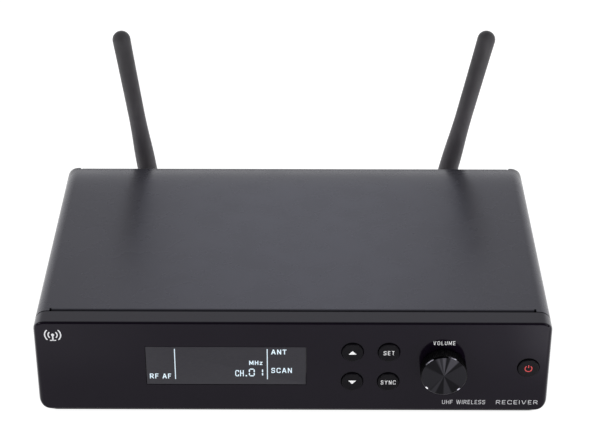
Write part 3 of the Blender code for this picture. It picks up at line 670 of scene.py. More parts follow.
def even_shading(obj):
    """Keeps large flat faces flat beside small rounded ones."""
    weights = obj.modifiers.new("even_shading", "WEIGHTED_NORMAL")
    weights.keep_sharp = True
    weights.weight = 90


def merged(name, objects):
    """One object, at the origin, from several."""
    bm = bmesh.new()
    for obj in objects:
        mesh = obj.data.copy()
        mesh.transform(obj.matrix_world)
        bm.from_mesh(mesh)
        bpy.data.objects.remove(obj)
    return linked(name, as_mesh(bm, name))


def finish_piece(obj, material, body, *nodes, slot=None):
    """Gives obj its material and body, and hides the CAD nodes that it stands for. slot, the
    record's name for the material where it isn't the same, is not used."""
    obj.data.materials.clear()
    obj.data.materials.append(MATERIALS[material])
    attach(obj, body)
    if nodes:
        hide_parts(*nodes)


def piece(mesh, place, facing, material, body, *nodes):
    finish_piece(placed(mesh, place, facing), material, body, *nodes)


# ---------------------------------------------------------------- housing

PANEL_OUTLINE = rectangle(2 * HALF_WIDTH, TOP_Z - BASE_Z, CORNER, 10)


def rim_ring(bm, turn):
    """One ring of the front panel's rim: turn runs from 0 on its side to a quarter turn on its face.
    The rim is tight along the top and bottom and softer at the left and right, and the top slopes
    down a little to the front."""
    ring = []
    for i, (x, y) in enumerate(PANEL_OUTLINE):
        across = Vector(PANEL_OUTLINE[(i + 1) % len(PANEL_OUTLINE)]) - Vector(PANEL_OUTLINE[i - 1])
        outward = Vector((across.y, -across.x)).normalized()
        radius = TIGHT_RIM + (SOFT_RIM - TIGHT_RIM) * outward.x**4
        inset = radius * (1 - math.cos(turn))
        depth = radius * (1 - math.sin(turn))
        drop = TOP_DRAFT * max(0, outward.y) ** 2 * (1 - depth / BEZEL_DEPTH)
        ring.append(vert(bm, x - outward.x * inset, y - outward.y * inset - drop, -depth))
    return ring


def make_front_panel():
    """The moulded front: a tray with a rounded rim and chamfered holes for the controls."""
    bm = bmesh.new()
    back_edge = 0.3
    rings = [level(bm, inset_outline(PANEL_OUTLINE, back_edge), -BEZEL_DEPTH)]
    rings.append(level(bm, PANEL_OUTLINE, back_edge - BEZEL_DEPTH))
    rings += [rim_ring(bm, turn) for turn in arc(8)]
    skinned(bm, rings)
    centre = (0, 0, MID_Z)
    panel = placed(finished_mesh(bm, "front_panel"), centre, FACING_FRONT)
    wall, face_wall, clearance = 2.2, 2.5, 0.4
    hollow = rectangle(2 * (HALF_WIDTH - wall), TOP_Z - BASE_Z - 2 * wall, CORNER - wall, 4)
    aperture = slab("aperture", window_outline(clearance, 0.5), -8, 8)
    cutters = [placed(slab("hollow", hollow, -20, -face_wall), centre, FACING_FRONT)]
    cutters.append(placed(aperture, axis_of("display_window"), FACING_FRONT))
    cutters += [placed(flared(BUTTON_HOLE), axis_of(f"{name}_button"), FACING_FRONT) for name in BUTTONS]
    cutters.append(placed(flared(KNOB_HOLE), axis_of("volume_knob"), FACING_FRONT))
    cut(panel, *cutters)
    even_shading(panel)
    finish_piece(panel, "panel_black", "housing", "front_bezel")


def window_outline(clearance, radius):
    """The display window's face inside its flange, enlarged by clearance."""
    low, high = box("display_window")
    change = clearance - 2 * WINDOW_FLANGE
    return rectangle(high.x - low.x + change, high.z - low.z + change, radius)


def flared(radius):
    """A cutter for a hole with a small chamfer at the panel's face."""
    wide = radius + 0.18
    return lathe("hole", [(0, 1), (wide + 1, 1), (wide, 0), (radius, -0.18), (radius, -8), (0, -8)], 64)


def countersink(radius):
    """A cutter for the shallow seat of a flush screw's head."""
    wide = radius + 0.1
    return lathe("hole", [(0, 1), (wide, 1), (wide, -0.1), (radius, -0.2), (radius, -2), (0, -2)], 40)


def fold_path():
    """The lid's middle strip from flange to flange, as (depth, z), with its folds as arcs."""
    bend = 0.45
    front = [(FOLD_START, TOP_Z - 7)]
    front += [(FOLD_START + bend * (1 - math.cos(a)), TOP_Z - bend * (1 - math.sin(a))) for a in arc(6)]
    rear = [(FOLD_START + FOLD_END - depth, z) for depth, z in reversed(front)]
    return front + [(FOLD_START + 0.9, TOP_Z), (FOLD_END - 0.6, TOP_Z)] + rear


def lid_surface():
    """The lid's outer surface: a folded strip between two rounded sides, joined over the top."""
    bm = bmesh.new()
    strip_half, side_half = 93.4, 94.2
    path = fold_path()
    flat = [i for i, (_, z) in enumerate(path) if z == TOP_Z]
    first, last = flat[1], flat[-2]
    left, right = [[vert(bm, side * strip_half, FRONT + d, z) for d, z in path] for side in (-1, 1)]
    for i in range(len(path) - 1):
        bm.faces.new((left[i], left[i + 1], right[i + 1], right[i]))
    depths = [lid_low.y, path[first][0], path[last][0], lid_high.y]
    x, z = HALF_WIDTH - CORNER, TOP_Z - CORNER
    bend = [(x + CORNER * math.sin(a), z + CORNER * math.cos(a)) for a in arc(16)]
    section = [(side_half, TOP_Z), *bend, (HALF_WIDTH, lid_low.z)]
    for side, strip in ((-1, left), (1, right)):
        grid = [[vert(bm, side * x, FRONT + depth, z) for depth in depths] for x, z in section]
        for near, far in zip(grid, grid[1:]):
            for i in range(len(depths) - 1):
                bm.faces.new((near[i], far[i], far[i + 1], near[i + 1]))
        bm.faces.new((strip[first], grid[0][1], grid[0][2], strip[last]))
    bmesh.ops.recalc_face_normals(bm, faces=bm.faces)
    if max(bm.faces, key=lambda face: face.calc_center_median().z).normal.z < 0:
        bmesh.ops.reverse_faces(bm, faces=bm.faces)
    return as_mesh(bm, "lid")


def make_lid():
    """The folded steel lid, with the cut edges of its sheet broken by a fine radius."""
    lid = linked("lid", lid_surface())
    sheet = lid.modifiers.new("sheet", "SOLIDIFY")
    sheet.thickness = SHEET * MM
    sheet.offset = -1
    sheet.use_even_offset = True
    applied(lid, "DIFFERENCE", [])
    cutters = []
    for end in ("front", "rear"):
        for side, facing in zip(SIDES, (FACING_LEFT, FACING_RIGHT)):
            centre = middle(f"side_screw_{end}_{side}")
            place = (math.copysign(HALF_WIDTH, centre.x), centre.y, centre.z)
            cutters.append(placed(countersink(3.1), place, facing))
    for side in SIDES:
        cutters.append(placed(drill(1.6, 3, -3, 24), axis_of(f"lid_screw_{side}", FOLD_END), FACING_BACK))
    cut(lid, *cutters)
    edge = lid.modifiers.new("broken_edge", "BEVEL")
    edge.width = 0.12 * MM
    edge.segments = 2
    edge.limit_method = "ANGLE"
    edge.angle_limit = math.radians(50)
    edge.harden_normals = True
    finish_piece(lid, "lid_paint", "housing", "top_cover")


def make_feet():
    """Rubber feet with a shallow dish underneath."""
    for place in ("front_left", "front_right", "rear_left", "rear_right"):
        low, high = box(f"foot_{place}")
        centre = (low + high) / 2
        radius = (high.x - low.x) / 2
        dish = 0.3
        profile = [
            (0, high.z), (radius, high.z), (radius, 0.5), (radius - 0.5, 0), (radius - 1.4, 0),
            (radius - 1.9, dish), (0, dish),
        ]
        mesh = lathe(f"rubber_foot_{place}", rounded(profile, 0.25), 40)
        piece(mesh, (centre.x, centre.y, 0), FACING_UP, "rubber_black", "housing", f"foot_{place}")


# ---------------------------------------------------------------- controls


def make_buttons():
    """Round caps with a soft edge and a slightly dished face."""
    for name in BUTTONS:
        low, high = box(f"{name}_button")
        stands, under = -low.y, -high.y
        radius, neck, flange = 4.1, 1.5, 5.1
        profile = [
            (0, stands - BUTTON_DISH), (1.6, stands - 0.8 * BUTTON_DISH), (2.8, stands - 0.3 * BUTTON_DISH),
            (radius - 0.5, stands), (radius - 0.28, stands), (radius, stands - 0.28, 0.3), (radius, -2.9),
            (flange, -2.9), (flange, -3.7), (neck, -3.7), (neck, under), (0, under),
        ]
        node = f"{name}_button"
        cap = lathe(f"{name}_cap", rounded(profile, 0.12), 64)
        piece(cap, axis_of(node), FACING_FRONT, "button_black", f"{name}_key", node)


def make_knob():
    """The volume knob with its rounded ribs, and the spun metal face set in its end."""
    low, high = box("volume_knob")
    seat, back = -low.y, -high.y
    radius = (high.x - low.x) / 2
    inner = radius - 0.7
    ribs = 70
    profile = [
        (0, back + 0.6), (inner - 1, back + 0.6), (inner - 0.5, back), (inner, back),
        (radius - 0.25, back + 0.05), (radius, back + 0.35), (radius, seat - 0.25),
        (radius - 0.2, seat - 0.04), (inner, seat), (0, seat),
    ]

    def ribbed(reach, height, angle):
        return reach - 0.38 * abs(math.sin(ribs * angle / 2)) ** 0.8 if reach > inner else reach

    place = axis_of("volume_knob")
    knob = lathe("knob_body", profile, ribs * 8, ribbed)
    piece(knob, place, FACING_FRONT, "knob_black", "volume_control", "volume_knob")
    low, high = box("knob_face_disc")
    face, under = -low.y, -high.y
    rim = (high.x - low.x) / 2
    chamfer, dish = 0.36, 0.1
    profile = [
        (0, face - dish), (0.5 * rim, face - 0.6 * dish), (rim - 3 * chamfer, face - 0.1 * dish),
        (rim - chamfer - 0.05, face), (rim - chamfer, face), (rim, face - chamfer), (rim, under), (0, under),
    ]
    disc = lathe("knob_disc", rounded(profile, 0.03, 2), 128)
    piece(disc, place, FACING_FRONT, "disc_metal", "volume_control", "knob_face_disc")


def make_window():
    face = -box("display_window")[0].y
    pane = slab("window_pane", window_outline(0, 0.35), -3, face, 0.08)
    piece(pane, axis_of("display_window"), FACING_FRONT, "window_grey", "housing", "display_window")


# ---------------------------------------------------------------- lettering

PRINT = 0.02
# Letters as pen strokes on a grid six high: width, then strokes. A third number rounds a corner.
GLYPHS = {
    " ": (1.2, []),
    "A": (4.4, [[(0, 0), (1.9, 6), (2.5, 6), (4.4, 0)], [(0.9, 1.8), (3.5, 1.8)]]),
    "B": (3.8, [[(0, 0), (0, 6), (3.5, 6, 1.3), (3.5, 3.2, 1.2), (0, 3.2)],
                [(0, 3.2), (3.8, 3.2, 1.3), (3.8, 0, 1.4), (0, 0)]]),
    "C": (4.0, [[(4, 4.7), (4, 6, 1.9), (0, 6, 2.3), (0, 0, 2.3), (4, 0, 1.9), (4, 1.3)]]),
    "D": (4.0, [[(0, 0), (0, 6), (4, 6, 2.4), (4, 0, 2.4), (0, 0)]]),
    "E": (3.1, [[(3.1, 6), (0, 6), (0, 0), (3.1, 0)], [(0, 3.1), (2.7, 3.1)]]),
    "F": (3.0, [[(3, 6), (0, 6), (0, 0)], [(0, 3), (2.6, 3)]]),
    "H": (3.9, [[(0, 0), (0, 6)], [(3.9, 0), (3.9, 6)], [(0, 3.1), (3.9, 3.1)]]),
    "I": (0.1, [[(0.05, 0), (0.05, 6)]]),
    "L": (2.9, [[(0, 6), (0, 0), (2.9, 0)]]),
    "M": (5.0, [[(0, 0), (0, 6)], [(0.2, 6), (2.5, 1)], [(2.5, 1), (4.8, 6)], [(5, 6), (5, 0)]]),
    "N": (4.0, [[(0, 0), (0, 6)], [(0.2, 6), (3.8, 0)], [(4, 0), (4, 6)]]),
    "O": (4.3, [[(0, 3), (0, 6, 2.5), (4.3, 6, 2.5), (4.3, 0, 2.5), (0, 0, 2.5), (0, 3)]]),
    "R": (3.8, [[(0, 0), (0, 6), (3.7, 6, 1.5), (3.7, 2.8, 1.5), (0, 2.8)], [(1.9, 2.6), (3.9, 0)]]),
    "S": (3.6, [[(3.5, 4.9), (3.5, 6, 1.5), (0, 6, 1.7), (0, 3.1, 1.6), (3.6, 3.1, 1.6), (3.6, 0, 1.7),
                 (0, 0, 1.5), (0, 1.1)]]),
    "T": (3.6, [[(0, 6), (3.6, 6)], [(1.8, 6), (1.8, 0)]]),
    "U": (3.9, [[(0, 6), (0, 0, 2.1), (3.9, 0, 2.1), (3.9, 6)]]),
    "V": (4.2, [[(0, 6), (1.8, 0), (2.4, 0), (4.2, 6)]]),
    "W": (6.2, [[(0, 6), (1.3, 0), (1.7, 0), (2.9, 6), (3.3, 6), (4.5, 0), (4.9, 0), (6.2, 6)]]),
    "Y": (4.2, [[(0, 6), (2.1, 2.9), (4.2, 6)], [(2.1, 2.9), (2.1, 0)]]),
    "z": (2.6, [[(0, 4.1), (2.6, 4.1), (0, 0), (2.6, 0)]]),
    "1": (1.6, [[(0, 4.7), (1.6, 6), (1.6, 0)]]),
    "2": (3.4, [[(0, 4.7), (0, 6, 1.6), (3.4, 6, 1.8), (3.4, 3.4, 1.6), (0, 0.3), (0, 0), (3.4, 0)]]),
}
GLYPH_GAP = 1.9


def pen_stroke(bm, points, width, thickness):
    """A bar of that width along the points, mitred at its corners and squared off at its ends."""
    points = [Vector(point) for point in points]
    if (points[0] - points[-1]).length > width / 2:
        points[0] += (points[0] - points[1]).normalized() * width / 2
        points[-1] += (points[-1] - points[-2]).normalized() * width / 2
    pairs = []
    for i, point in enumerate(points):
        back = (point - points[max(i - 1, 0)]).normalized()
        ahead = (points[min(i + 1, len(points) - 1)] - point).normalized()
        along = (back + ahead).normalized()
        across = Vector((-along.y, along.x))
        lean = max(0.5, across.dot(Vector((-ahead.y, ahead.x))) or across.dot(Vector((-back.y, back.x))))
        reach = across * width / 2 / lean
        sides = (point + reach, point - reach)
        pairs.append([(vert(bm, *side, 0), vert(bm, *side, thickness)) for side in sides])
    for near, far in zip(pairs, pairs[1:]):
        (a, b), (c, d) = near
        (e, f), (g, h) = far
        for corners in ((b, d, h, f), (a, e, g, c), (a, b, f, e), (c, g, h, d)):
            bm.faces.new(corners)
    for (a, b), (c, d) in (pairs[0], pairs[-1]):
        bm.faces.new((a, b, d, c))


def text_mesh(name, words, width, height, weight, gap=GLYPH_GAP):
    """Words as thin solid strokes of that weight, lying in X and Y and fitted about the origin."""
    advances = [GLYPHS[letter][0] for letter in words]
    stem = weight / (height - weight) * 6
    total = sum(advances) + (gap + stem) * (len(words) - 1)
    scale_x = (width - weight) / total
    scale_y = (height - weight) / 6
    bm = bmesh.new()
    start = 0.0
    for letter, advance in zip(words, advances):
        for layer, stroke in enumerate(GLYPHS[letter][1]):
            points = rounded([(start + p[0], *p[1:]) for p in stroke], 0, 5)
            points = [((x - total / 2) * scale_x, (y - 3) * scale_y) for x, y in points]
            pen_stroke(bm, points, weight, PRINT + layer * 0.001)
        start += advance + gap + stem
    return finished_mesh(bm, name)


def words_on_front(name, words, left, right, low, high, weight, stands=0, gap=GLYPH_GAP):
    """Words on the front, between left and right and between low and high above the base."""
    mesh = text_mesh(name, words, right - left, high - low, weight, gap)
    return placed(mesh, ((left + right) / 2, -stands, BASE_Z + (low + high) / 2), FACING_FRONT)


def flat_mesh(name, outlines):
    """Several flat outlines as one thin solid."""
    bm = bmesh.new()
    for outline in outlines:
        bm.faces.new(level(bm, outline, 0))
    bmesh.ops.remove_doubles(bm, verts=bm.verts, dist=0.0001 * MM)
    made = bmesh.ops.extrude_face_region(bm, geom=list(bm.faces), use_keep_orig=True)
    top = [item for item in made["geom"] if isinstance(item, bmesh.types.BMVert)]
    bmesh.ops.translate(bm, vec=(0, 0, PRINT * MM), verts=top)
    bmesh.ops.recalc_face_normals(bm, faces=bm.faces)
    return as_mesh(bm, name)


def band(radius, width, start, end, steps=12):
    """Part of a ring about the origin, from start to end in turns."""
    angles = [TURN * (start + (end - start) * step / steps) for step in range(steps + 1)]
    outer = [polar(radius + width / 2, angle) for angle in angles]
    inner = [polar(radius - width / 2, angle) for angle in angles]
    return outer + inner[::-1]


def segment(start, end, width):
    """One bar of a seven-segment figure, with pointed ends."""
    start, end = Vector(start), Vector(end)
    along = (end - start).normalized()
    across = Vector((-along.y, along.x)) * width / 2
    tip = along * width / 2
    return [start, start + tip + across, end - tip + across, end, end - tip - across, start + tip - across]


def figure(left, right, low, high, bars, width=0.48):
    """A seven-segment figure in that box; bars are the letters of its lit bars."""
    inset = width / 2
    left, right, low, high = left + inset, right - inset, low + inset, high - inset
    mid = (low + high) / 2
    gap = 0.1
    ends = {
        "a": ((left + gap, high), (right - gap, high)),
        "b": ((right, high - gap), (right, mid + gap)),
        "c": ((right, mid - gap), (right, low + gap)),
        "d": ((left + gap, low), (right - gap, low)),
        "e": ((left, mid - gap), (left, low + gap)),
        "f": ((left, high - gap), (left, mid + gap)),
    }
    return [segment(*ends[bar], width) for bar in bars]


def make_display_marks():
    """What the display shows: level names, divider lines, the unit and the channel number."""
    stands = -box("display_window")[0].y
    words = [
        ("RF", -55.75, -52.4, 15.1, 17.45, 0.38), ("AF", -50.8, -47.45, 15.1, 17.45, 0.38),
        ("ANT", -8.3, -2.4, 26.7, 29.0, 0.4), ("SCAN", -8.3, -0.3, 17.9, 20.3, 0.36),
        ("MHz", -16.9, -11.75, 21.7, 23.7, 0.36), ("CH", -22.4, -19.05, 16.25, 19.2, 0.36),
    ]
    pieces = [words_on_front("display_word", *word, stands) for word in words]
    outlines = [box_outline(x - 0.17, x + 0.17, 14.85, 29.2) for x in (-45.75, -9.85)]
    outlines.append(box_outline(-18.35, -17.8, 16.25, 16.85))
    outlines += figure(-17.1, -14.75, 16.25, 19.95, "abcdef")
    outlines += figure(-13.85, -11.5, 16.25, 19.95, "bc")
    pieces.append(placed(flat_mesh("display_bars", outlines), (0, -stands, BASE_Z), FACING_FRONT))
    finish_piece(merged("display_marks", pieces), "display_lit", "housing")


def make_panel_marks():
    """Printing on the panel: the knob's name and, greyer, a plain description of the unit and a
    mast with radio waves."""
    name = words_on_front("panel_words", "VOLUME", 54.3, 62.75, 31.35, 33.15, 0.19, gap=2.8)
    finish_piece(name, "print_grey", "housing")
    words = [("UHF WIRELESS", 58.8, 75.7, 3.15, 5.1, 0.18), ("RECEIVER", 80.0, 96.3, 3.15, 5.05, 0.2)]
    pieces = [words_on_front("panel_word", *word) for word in words]
    outlines = [circle(0.62, 20), box_outline(-0.28, 0.28, -2.7, -0.4), box_outline(-1.2, 1.2, -2.75, -2.3)]
    outlines += [band(radius, 0.5, side - 0.13, side + 0.13) for radius in (1.75, 3.1) for side in (0, 0.5)]
    pieces.append(placed(flat_mesh("mast_mark", outlines), (-92.4, 0, BASE_Z + 35.6), FACING_FRONT))
    finish_piece(merged("panel_marks", pieces), "print_dim", "housing", slot="print_grey")


def mark_cap(mesh, name, dish, ink_name="print_grey"):
    """Prints a mark on a button, sunk as far as its cap's face dips there."""
    face = box(f"{name}_button")[0].y
    piece(mesh, axis_of(f"{name}_button", face + dish - 0.005), FACING_FRONT, ink_name, f"{name}_key")


def make_button_marks():
    """The symbols printed on the button caps, which move with them."""
    for name, up in (("up", 1), ("down", -1)):
        arrow = [(-1.6, -0.75 * up), (1.6, -0.75 * up), (0, 0.85 * up)][::up]
        mark_cap(flat_mesh(f"{name}_mark", [arrow]), name, BUTTON_DISH)
    for name, words, width in (("set", "SET", 4.2), ("sync", "SYNC", 5.7)):
        mark_cap(text_mesh(f"{name}_mark", words, width, 1.9, 0.21, 2.7), name, 0.3 * BUTTON_DISH)
    line, gap = 0.36, 0.1
    outlines = [band(1.35, line, 0.25 + gap, 1.25 - gap, 28), box_outline(-line / 2, line / 2, 0.35, 1.85)]
    # The power symbol's red print glows: painted light
    mark_cap(flat_mesh("power_mark", outlines), "power", BUTTON_DISH, "print_red")


def make_rear_marks():
    """Plain names of the sockets, printed on the rear panel, which read from behind."""
    behind = Matrix.Rotation(TURN / 2, 4, "Z") @ FACING_FRONT
    labels = [
        ("ANT 1", "bnc_socket_left", 0, -11.4, 8.0),
        ("ANT 2", "bnc_socket_right", 0, -11.4, 8.0),
        ("BALANCED", "xlr_insert", -21.0, 13.0, 14.0),
        ("UNBALANCED", "jack_nut", 0, 10.4, 18.0),
        ("DC IN", "dc_socket", 0, 9.2, 7.8),
    ]
    pieces = []
    for words, node, aside, rise, width in labels:
        x, depth, z = axis_of(node, REAR_PANEL)
        word = text_mesh("rear_word", words, width, 1.9, 0.24)
        pieces.append(placed(word, (x + aside, depth, z + rise), behind))
    finish_piece(merged("rear_marks", pieces), "print_grey", "housing")


# ---------------------------------------------------------------- antennas

ROD_LENGTH = 79.86
EAR_HALF = 4.9
PIN_RADIUS = 1.5
# How far each rod leans to the right, and nods to the front, in degrees
LEANS = {"left": -7.2, "right": 12.1}
NODS = {"left": 2.2, "right": 0}


def antenna_axes(side):
    """The frame of an antenna: at its pin, with Z along the rod."""
    joint = next(j for j in frame["joints"] if j["name"] == f"antenna_{side}_tilt")
    return Matrix.Translation(Vector(joint["pos_m"])) @ Matrix.Rotation(math.radians(LEANS[side]), 4, "Y")


def baked(obj):
    """Moves obj's placing into its mesh, so that its own axes are the frame's."""
    obj.data.transform(obj.matrix_world)
    obj.matrix_world = FACING_UP


def make_rod(side, axes):
    """The rod: a tongue on the pin, a thick foot, a waist, and a stem which widens to a domed tip."""
    axes = axes @ Matrix.Rotation(math.radians(NODS[side]), 4, "X")
    tip = 3.9
    dome = [(tip * math.sin(a), ROD_LENGTH - tip * (1 - math.cos(a))) for a in arc(10)]
    body = [
        dome[-1], (3.8, 68), (3.68, 46), (3.65, 35.5), (3.85, 28), (4.15, 21.5), (4.28, 17), (4.34, 12),
        (4.34, 6.5, 0.4), (3.8, 6.05), (0, 6.05),
    ]
    rod = on_axes(lathe(f"rod_{side}", dome[:-1] + rounded(body, 3, 3), 64), axes)
    outline = [(up, -out) for out, up in tongue_outline(4.3, 7.5)]
    join(rod, on_axes(slab("tongue", outline, -2.4, 2.4, 0.3), axes, ACROSS))
    cut(rod, on_axes(drill(PIN_RADIUS + 0.1, 6, -6, 32), axes, FACING_RIGHT))
    baked(rod)
    finish_piece(rod, "rod_black", f"antenna_{side}_mast", f"antenna_{side}_rod", slot="antenna_black")


def make_knuckle(side, axes):
    """The knuckle: a round base that turns in the lock ring, and two ears which hold the pin."""
    ears = slab(f"knuckle_{side}", tongue_outline(4.6, 5.9), -EAR_HALF, EAR_HALF, 0.35)
    ears = on_axes(ears, axes, ACROSS)
    stem = [(0, -5), (4.3, -5), (4.3, -8), (5.3, -8), (5.3, -8.8), (3.8, -8.8), (3.8, -14.5), (0, -14.5)]
    join(ears, on_axes(lathe("stem", rounded(stem, 0.15, 2), 48), axes, FACING_BACK))
    slot = slab("slot", box_outline(-4.9, 8, -8, 8), -2.6, 2.6)
    hole = drill(PIN_RADIUS + 0.1, 6, -6, 32)
    cut(ears, on_axes(slot, axes, ACROSS), on_axes(hole, axes, FACING_RIGHT))
    baked(ears)
    finish_piece(ears, "antenna_black", f"antenna_{side}_base", f"antenna_{side}_knuckle")
    end = EAR_HALF - 0.1
    head = [(0, end), (PIN_RADIUS, end, 0.35), (PIN_RADIUS, -end, 0.35), (0, -end)]
    pin = on_axes(lathe(f"hinge_pin_{side}", rounded(head, 0.3, 3), 32), axes, FACING_RIGHT)
    finish_piece(pin, "nickel", f"antenna_{side}_base", f"antenna_{side}_pin")


def make_collar(side):
    """The bayonet lock ring, knurled along its grip."""
    low, high = box(f"antenna_{side}_collar")
    start, end = low.y, high.y
    outer = (high.x - low.x) / 2
    bore, lip = 5.65, 4.7
    knurls = 44

    def knurled(radius, height, angle):
        on_grip = start + 4.0 < height < end - 2.2 and radius > outer - 0.3
        return radius - 0.28 * (0.5 - 0.5 * math.cos(knurls * angle)) if on_grip else radius

    profile = [
        (bore, start), (bore, end - 1.3), (lip, end - 1.3), (lip, end), (outer - 0.6, end), (outer, end - 1),
        (outer, end - 2.2), (outer, end - 2.5), (outer, start + 4.3), (outer, start + 4),
        (outer - 0.5, start + 3.6), (outer - 0.5, start + 0.5), (outer - 0.8, start),
    ]
    ring = lathe(f"lock_ring_{side}", profile, knurls * 8, knurled)
    node = f"antenna_{side}_collar"
    piece(ring, axis_of(node), FACING_BACK, "nickel", f"antenna_{side}_lock", node)


# ---------------------------------------------------------------- rear sockets


def make_bnc(side):
    """An aerial socket with its bayonet lugs, and its hexagonal nut."""
    place = axis_of(f"bnc_socket_{side}")
    mouth = box(f"bnc_socket_{side}")[1].y
    bore, barrel, flange = 4.1, 4.8, 6.5
    profile = [
        (0, 122), (bore, 122), (bore, mouth - 0.3), (bore + 0.2, mouth), (barrel - 0.2, mouth),
        (barrel, mouth - 0.2), (barrel, SOCKET_SEAT), (flange, SOCKET_SEAT), (flange, 112), (2, 112),
        (2, 109), (0, 109),
    ]
    socket = placed(lathe(f"aerial_socket_{side}", rounded(profile, 0.08, 2), 48), place, FACING_BACK)
    lug = lathe("lug", rounded([(0, 5.45), (0.9, 5.45), (0.9, 4.4), (0, 4.4)], 0.1), 20)
    for facing in (FACING_UP, FACING_DOWN):
        join(socket, placed(lug, (place[0], 126.5, place[2]), facing))
    finish_piece(socket, "nickel", "housing", f"bnc_socket_{side}")
    low, high = box(f"bnc_nut_{side}")
    nut = placed(slab(f"hex_nut_{side}", circle(7.8, 6), low.y, high.y, 0.2), place, FACING_BACK)
    cut(nut, placed(drill(5.1, 130, 110, 48), place, FACING_BACK))
    finish_piece(nut, "nickel", "housing", f"bnc_nut_{side}")


def make_socket(body, barrel, bore, place, holes, material, node):
    """A socket: a body with a barrel joined on, then a bore and any holes cut out."""
    socket = placed(body, place, FACING_BACK)
    join(socket, placed(barrel, place, FACING_BACK))
    cut(socket, placed(bore, place, FACING_BACK), *holes)
    even_shading(socket)
    finish_piece(socket, material, "housing", node)


def make_xlr():
    """The balanced output: a flanged metal shell, its insulator, and three pins that ride along."""
    place = axis_of("xlr_insert")
    mouth = box("xlr_shell")[1].y
    seat = REAR_PANEL + 0.3
    body = slab("output_shell", rectangle(26, 31, 2.5), seat, seat + 2, 0.3)
    barrel = [(0, mouth), (10.9, mouth), (11.6, mouth - 0.7, 0.4), (11.6, 100), (0, 100)]
    barrel = lathe("barrel", rounded(barrel, 0.1), 72)
    cup = 9.3
    bore = [(0, 130), (cup + 9, 130), (cup + 0.5, mouth), (cup, mouth - 0.6), (cup, 95), (0, 95)]
    holes = [placed(drill(1.7, 125, 110, 24), axis_of(f"xlr_screw_{side}"), FACING_BACK) for side in SIDES]
    make_socket(body, barrel, lathe("cup", bore, 72), place, holes, "nickel", "xlr_shell")
    floor = 105
    insert = [(0, floor), (cup - 0.2, floor), (cup - 0.2, 100.4), (0, 100.4)]
    insert = lathe("output_insert", rounded(insert, 0.2), 64)
    piece(insert, place, FACING_BACK, "connector_black", "housing", "xlr_insert")
    pins = []
    tip = 117
    profile = rounded([(0, tip), (0.7, tip), (1.2, tip - 1), (1.2, floor - 1), (0, floor - 1)], 0.3)
    for i in range(3):
        x, z = polar(4.1, TURN * (i / 3 - 1 / 4))
        pins.append(placed(lathe("pin", profile, 32), (place[0] + x, 0, place[2] + z), FACING_BACK))
    finish_piece(merged("output_pins", pins), "nickel", "housing")


def ridges(radius, start, end, pitch=0.7):
    """The profile of a fine thread from start down to end, as (radius, height)."""
    turns = int((start - end) / pitch)
    root = radius - 0.25
    return [(root if half % 2 else radius, start - half * pitch / 2) for half in range(2 * turns + 1)]


def make_jack():
    """The unbalanced output: a block with a threaded bushing, and its round notched nut."""
    low, high = box("jack_socket")
    place = axis_of("jack_nut")
    mouth = high.y
    body = slab("jack_body", box_outline(-8, 8, -8, 8), low.y, SOCKET_SEAT, 0.4)
    thread = ridges(5.1, mouth - 0.4, REAR_PANEL)
    bushing = [(0, mouth), (4.6, mouth), *thread, (5.1, SOCKET_SEAT - 1), (0, SOCKET_SEAT - 1)]
    bore = [(0, 125), (3.6, 125), (3.6, mouth), (3.3, mouth - 0.3), (3.3, 97), (0, 97)]
    bushing, bore = lathe("bushing", bushing, 56), lathe("bore", bore, 48)
    make_socket(body, bushing, bore, place, [], "connector_black", "jack_socket")
    low, high = box("jack_nut")
    outer, inner = (high.x - low.x) / 2, 5.3
    profile = [(inner, low.y), (inner, high.y), (outer - 0.9, high.y), (outer, high.y - 0.7), (outer, low.y)]

    def notched(radius, height, angle):
        return radius - 0.35 * max(0.0, math.cos(12 * angle)) ** 6 if radius > inner + 1 else radius

    nut = lathe("jack_ring", profile, 96, notched)
    piece(nut, place, FACING_BACK, "connector_black", "housing", "jack_nut")


def make_dc_inlet():
    """The supply's inlet: a block with a barrel, and a pin that rides along."""
    low, high = box("dc_socket")
    place = axis_of("dc_socket")
    lip = high.y
    body = slab("power_inlet", box_outline(-4.5, 4.5, -5.5, 5.5), low.y, SOCKET_SEAT, 0.3)
    barrel = [(0, lip), (3.9, lip), (4.1, lip - 0.2), (4.1, SOCKET_SEAT - 1), (0, SOCKET_SEAT - 1)]
    barrel = lathe("barrel", rounded(barrel, 0.1), 48)
    bore = [(0, 122), (3.1, 122), (3.1, lip), (2.9, lip - 0.2), (2.9, 107), (0, 107)]
    make_socket(body, barrel, lathe("bore", bore, 40), place, [], "connector_black", "dc_socket")
    pin = [(0, lip - 0.8), (0.9, lip - 0.8), (1.0, lip - 1.6), (1.0, 106), (0, 106)]
    piece(lathe("inlet_pin", rounded(pin, 0.3), 24), place, FACING_BACK, "nickel", "housing")


def make_hook():
    """The hook which takes the strain of the supply's cord."""
    low, high = box("cord_hook")
    arm, reach, rise, foot = 2.2, 8.5, 10, 13
    stem = 0.8 * arm
    outline = [
        (0, 0, 0.1), (reach, 0, 1.2), (reach, rise, 0.9), (reach - arm, rise, 0.9), (reach - arm, arm, 0.8),
        (stem, arm, 0.8), (stem, foot, 0.6), (0, foot, 0.1),
    ]
    points = rounded(outline[-1:] + outline + outline[:1], 0.5)[1:-1]
    half = (high.x - low.x) / 2
    hook = placed(slab("lead_hook", points, -half, half, 0.4), (low.x + half, low.y, low.z), ACROSS)
    even_shading(hook)
    finish_piece(hook, "connector_black", "housing", "cord_hook")


# ---------------------------------------------------------------- screws


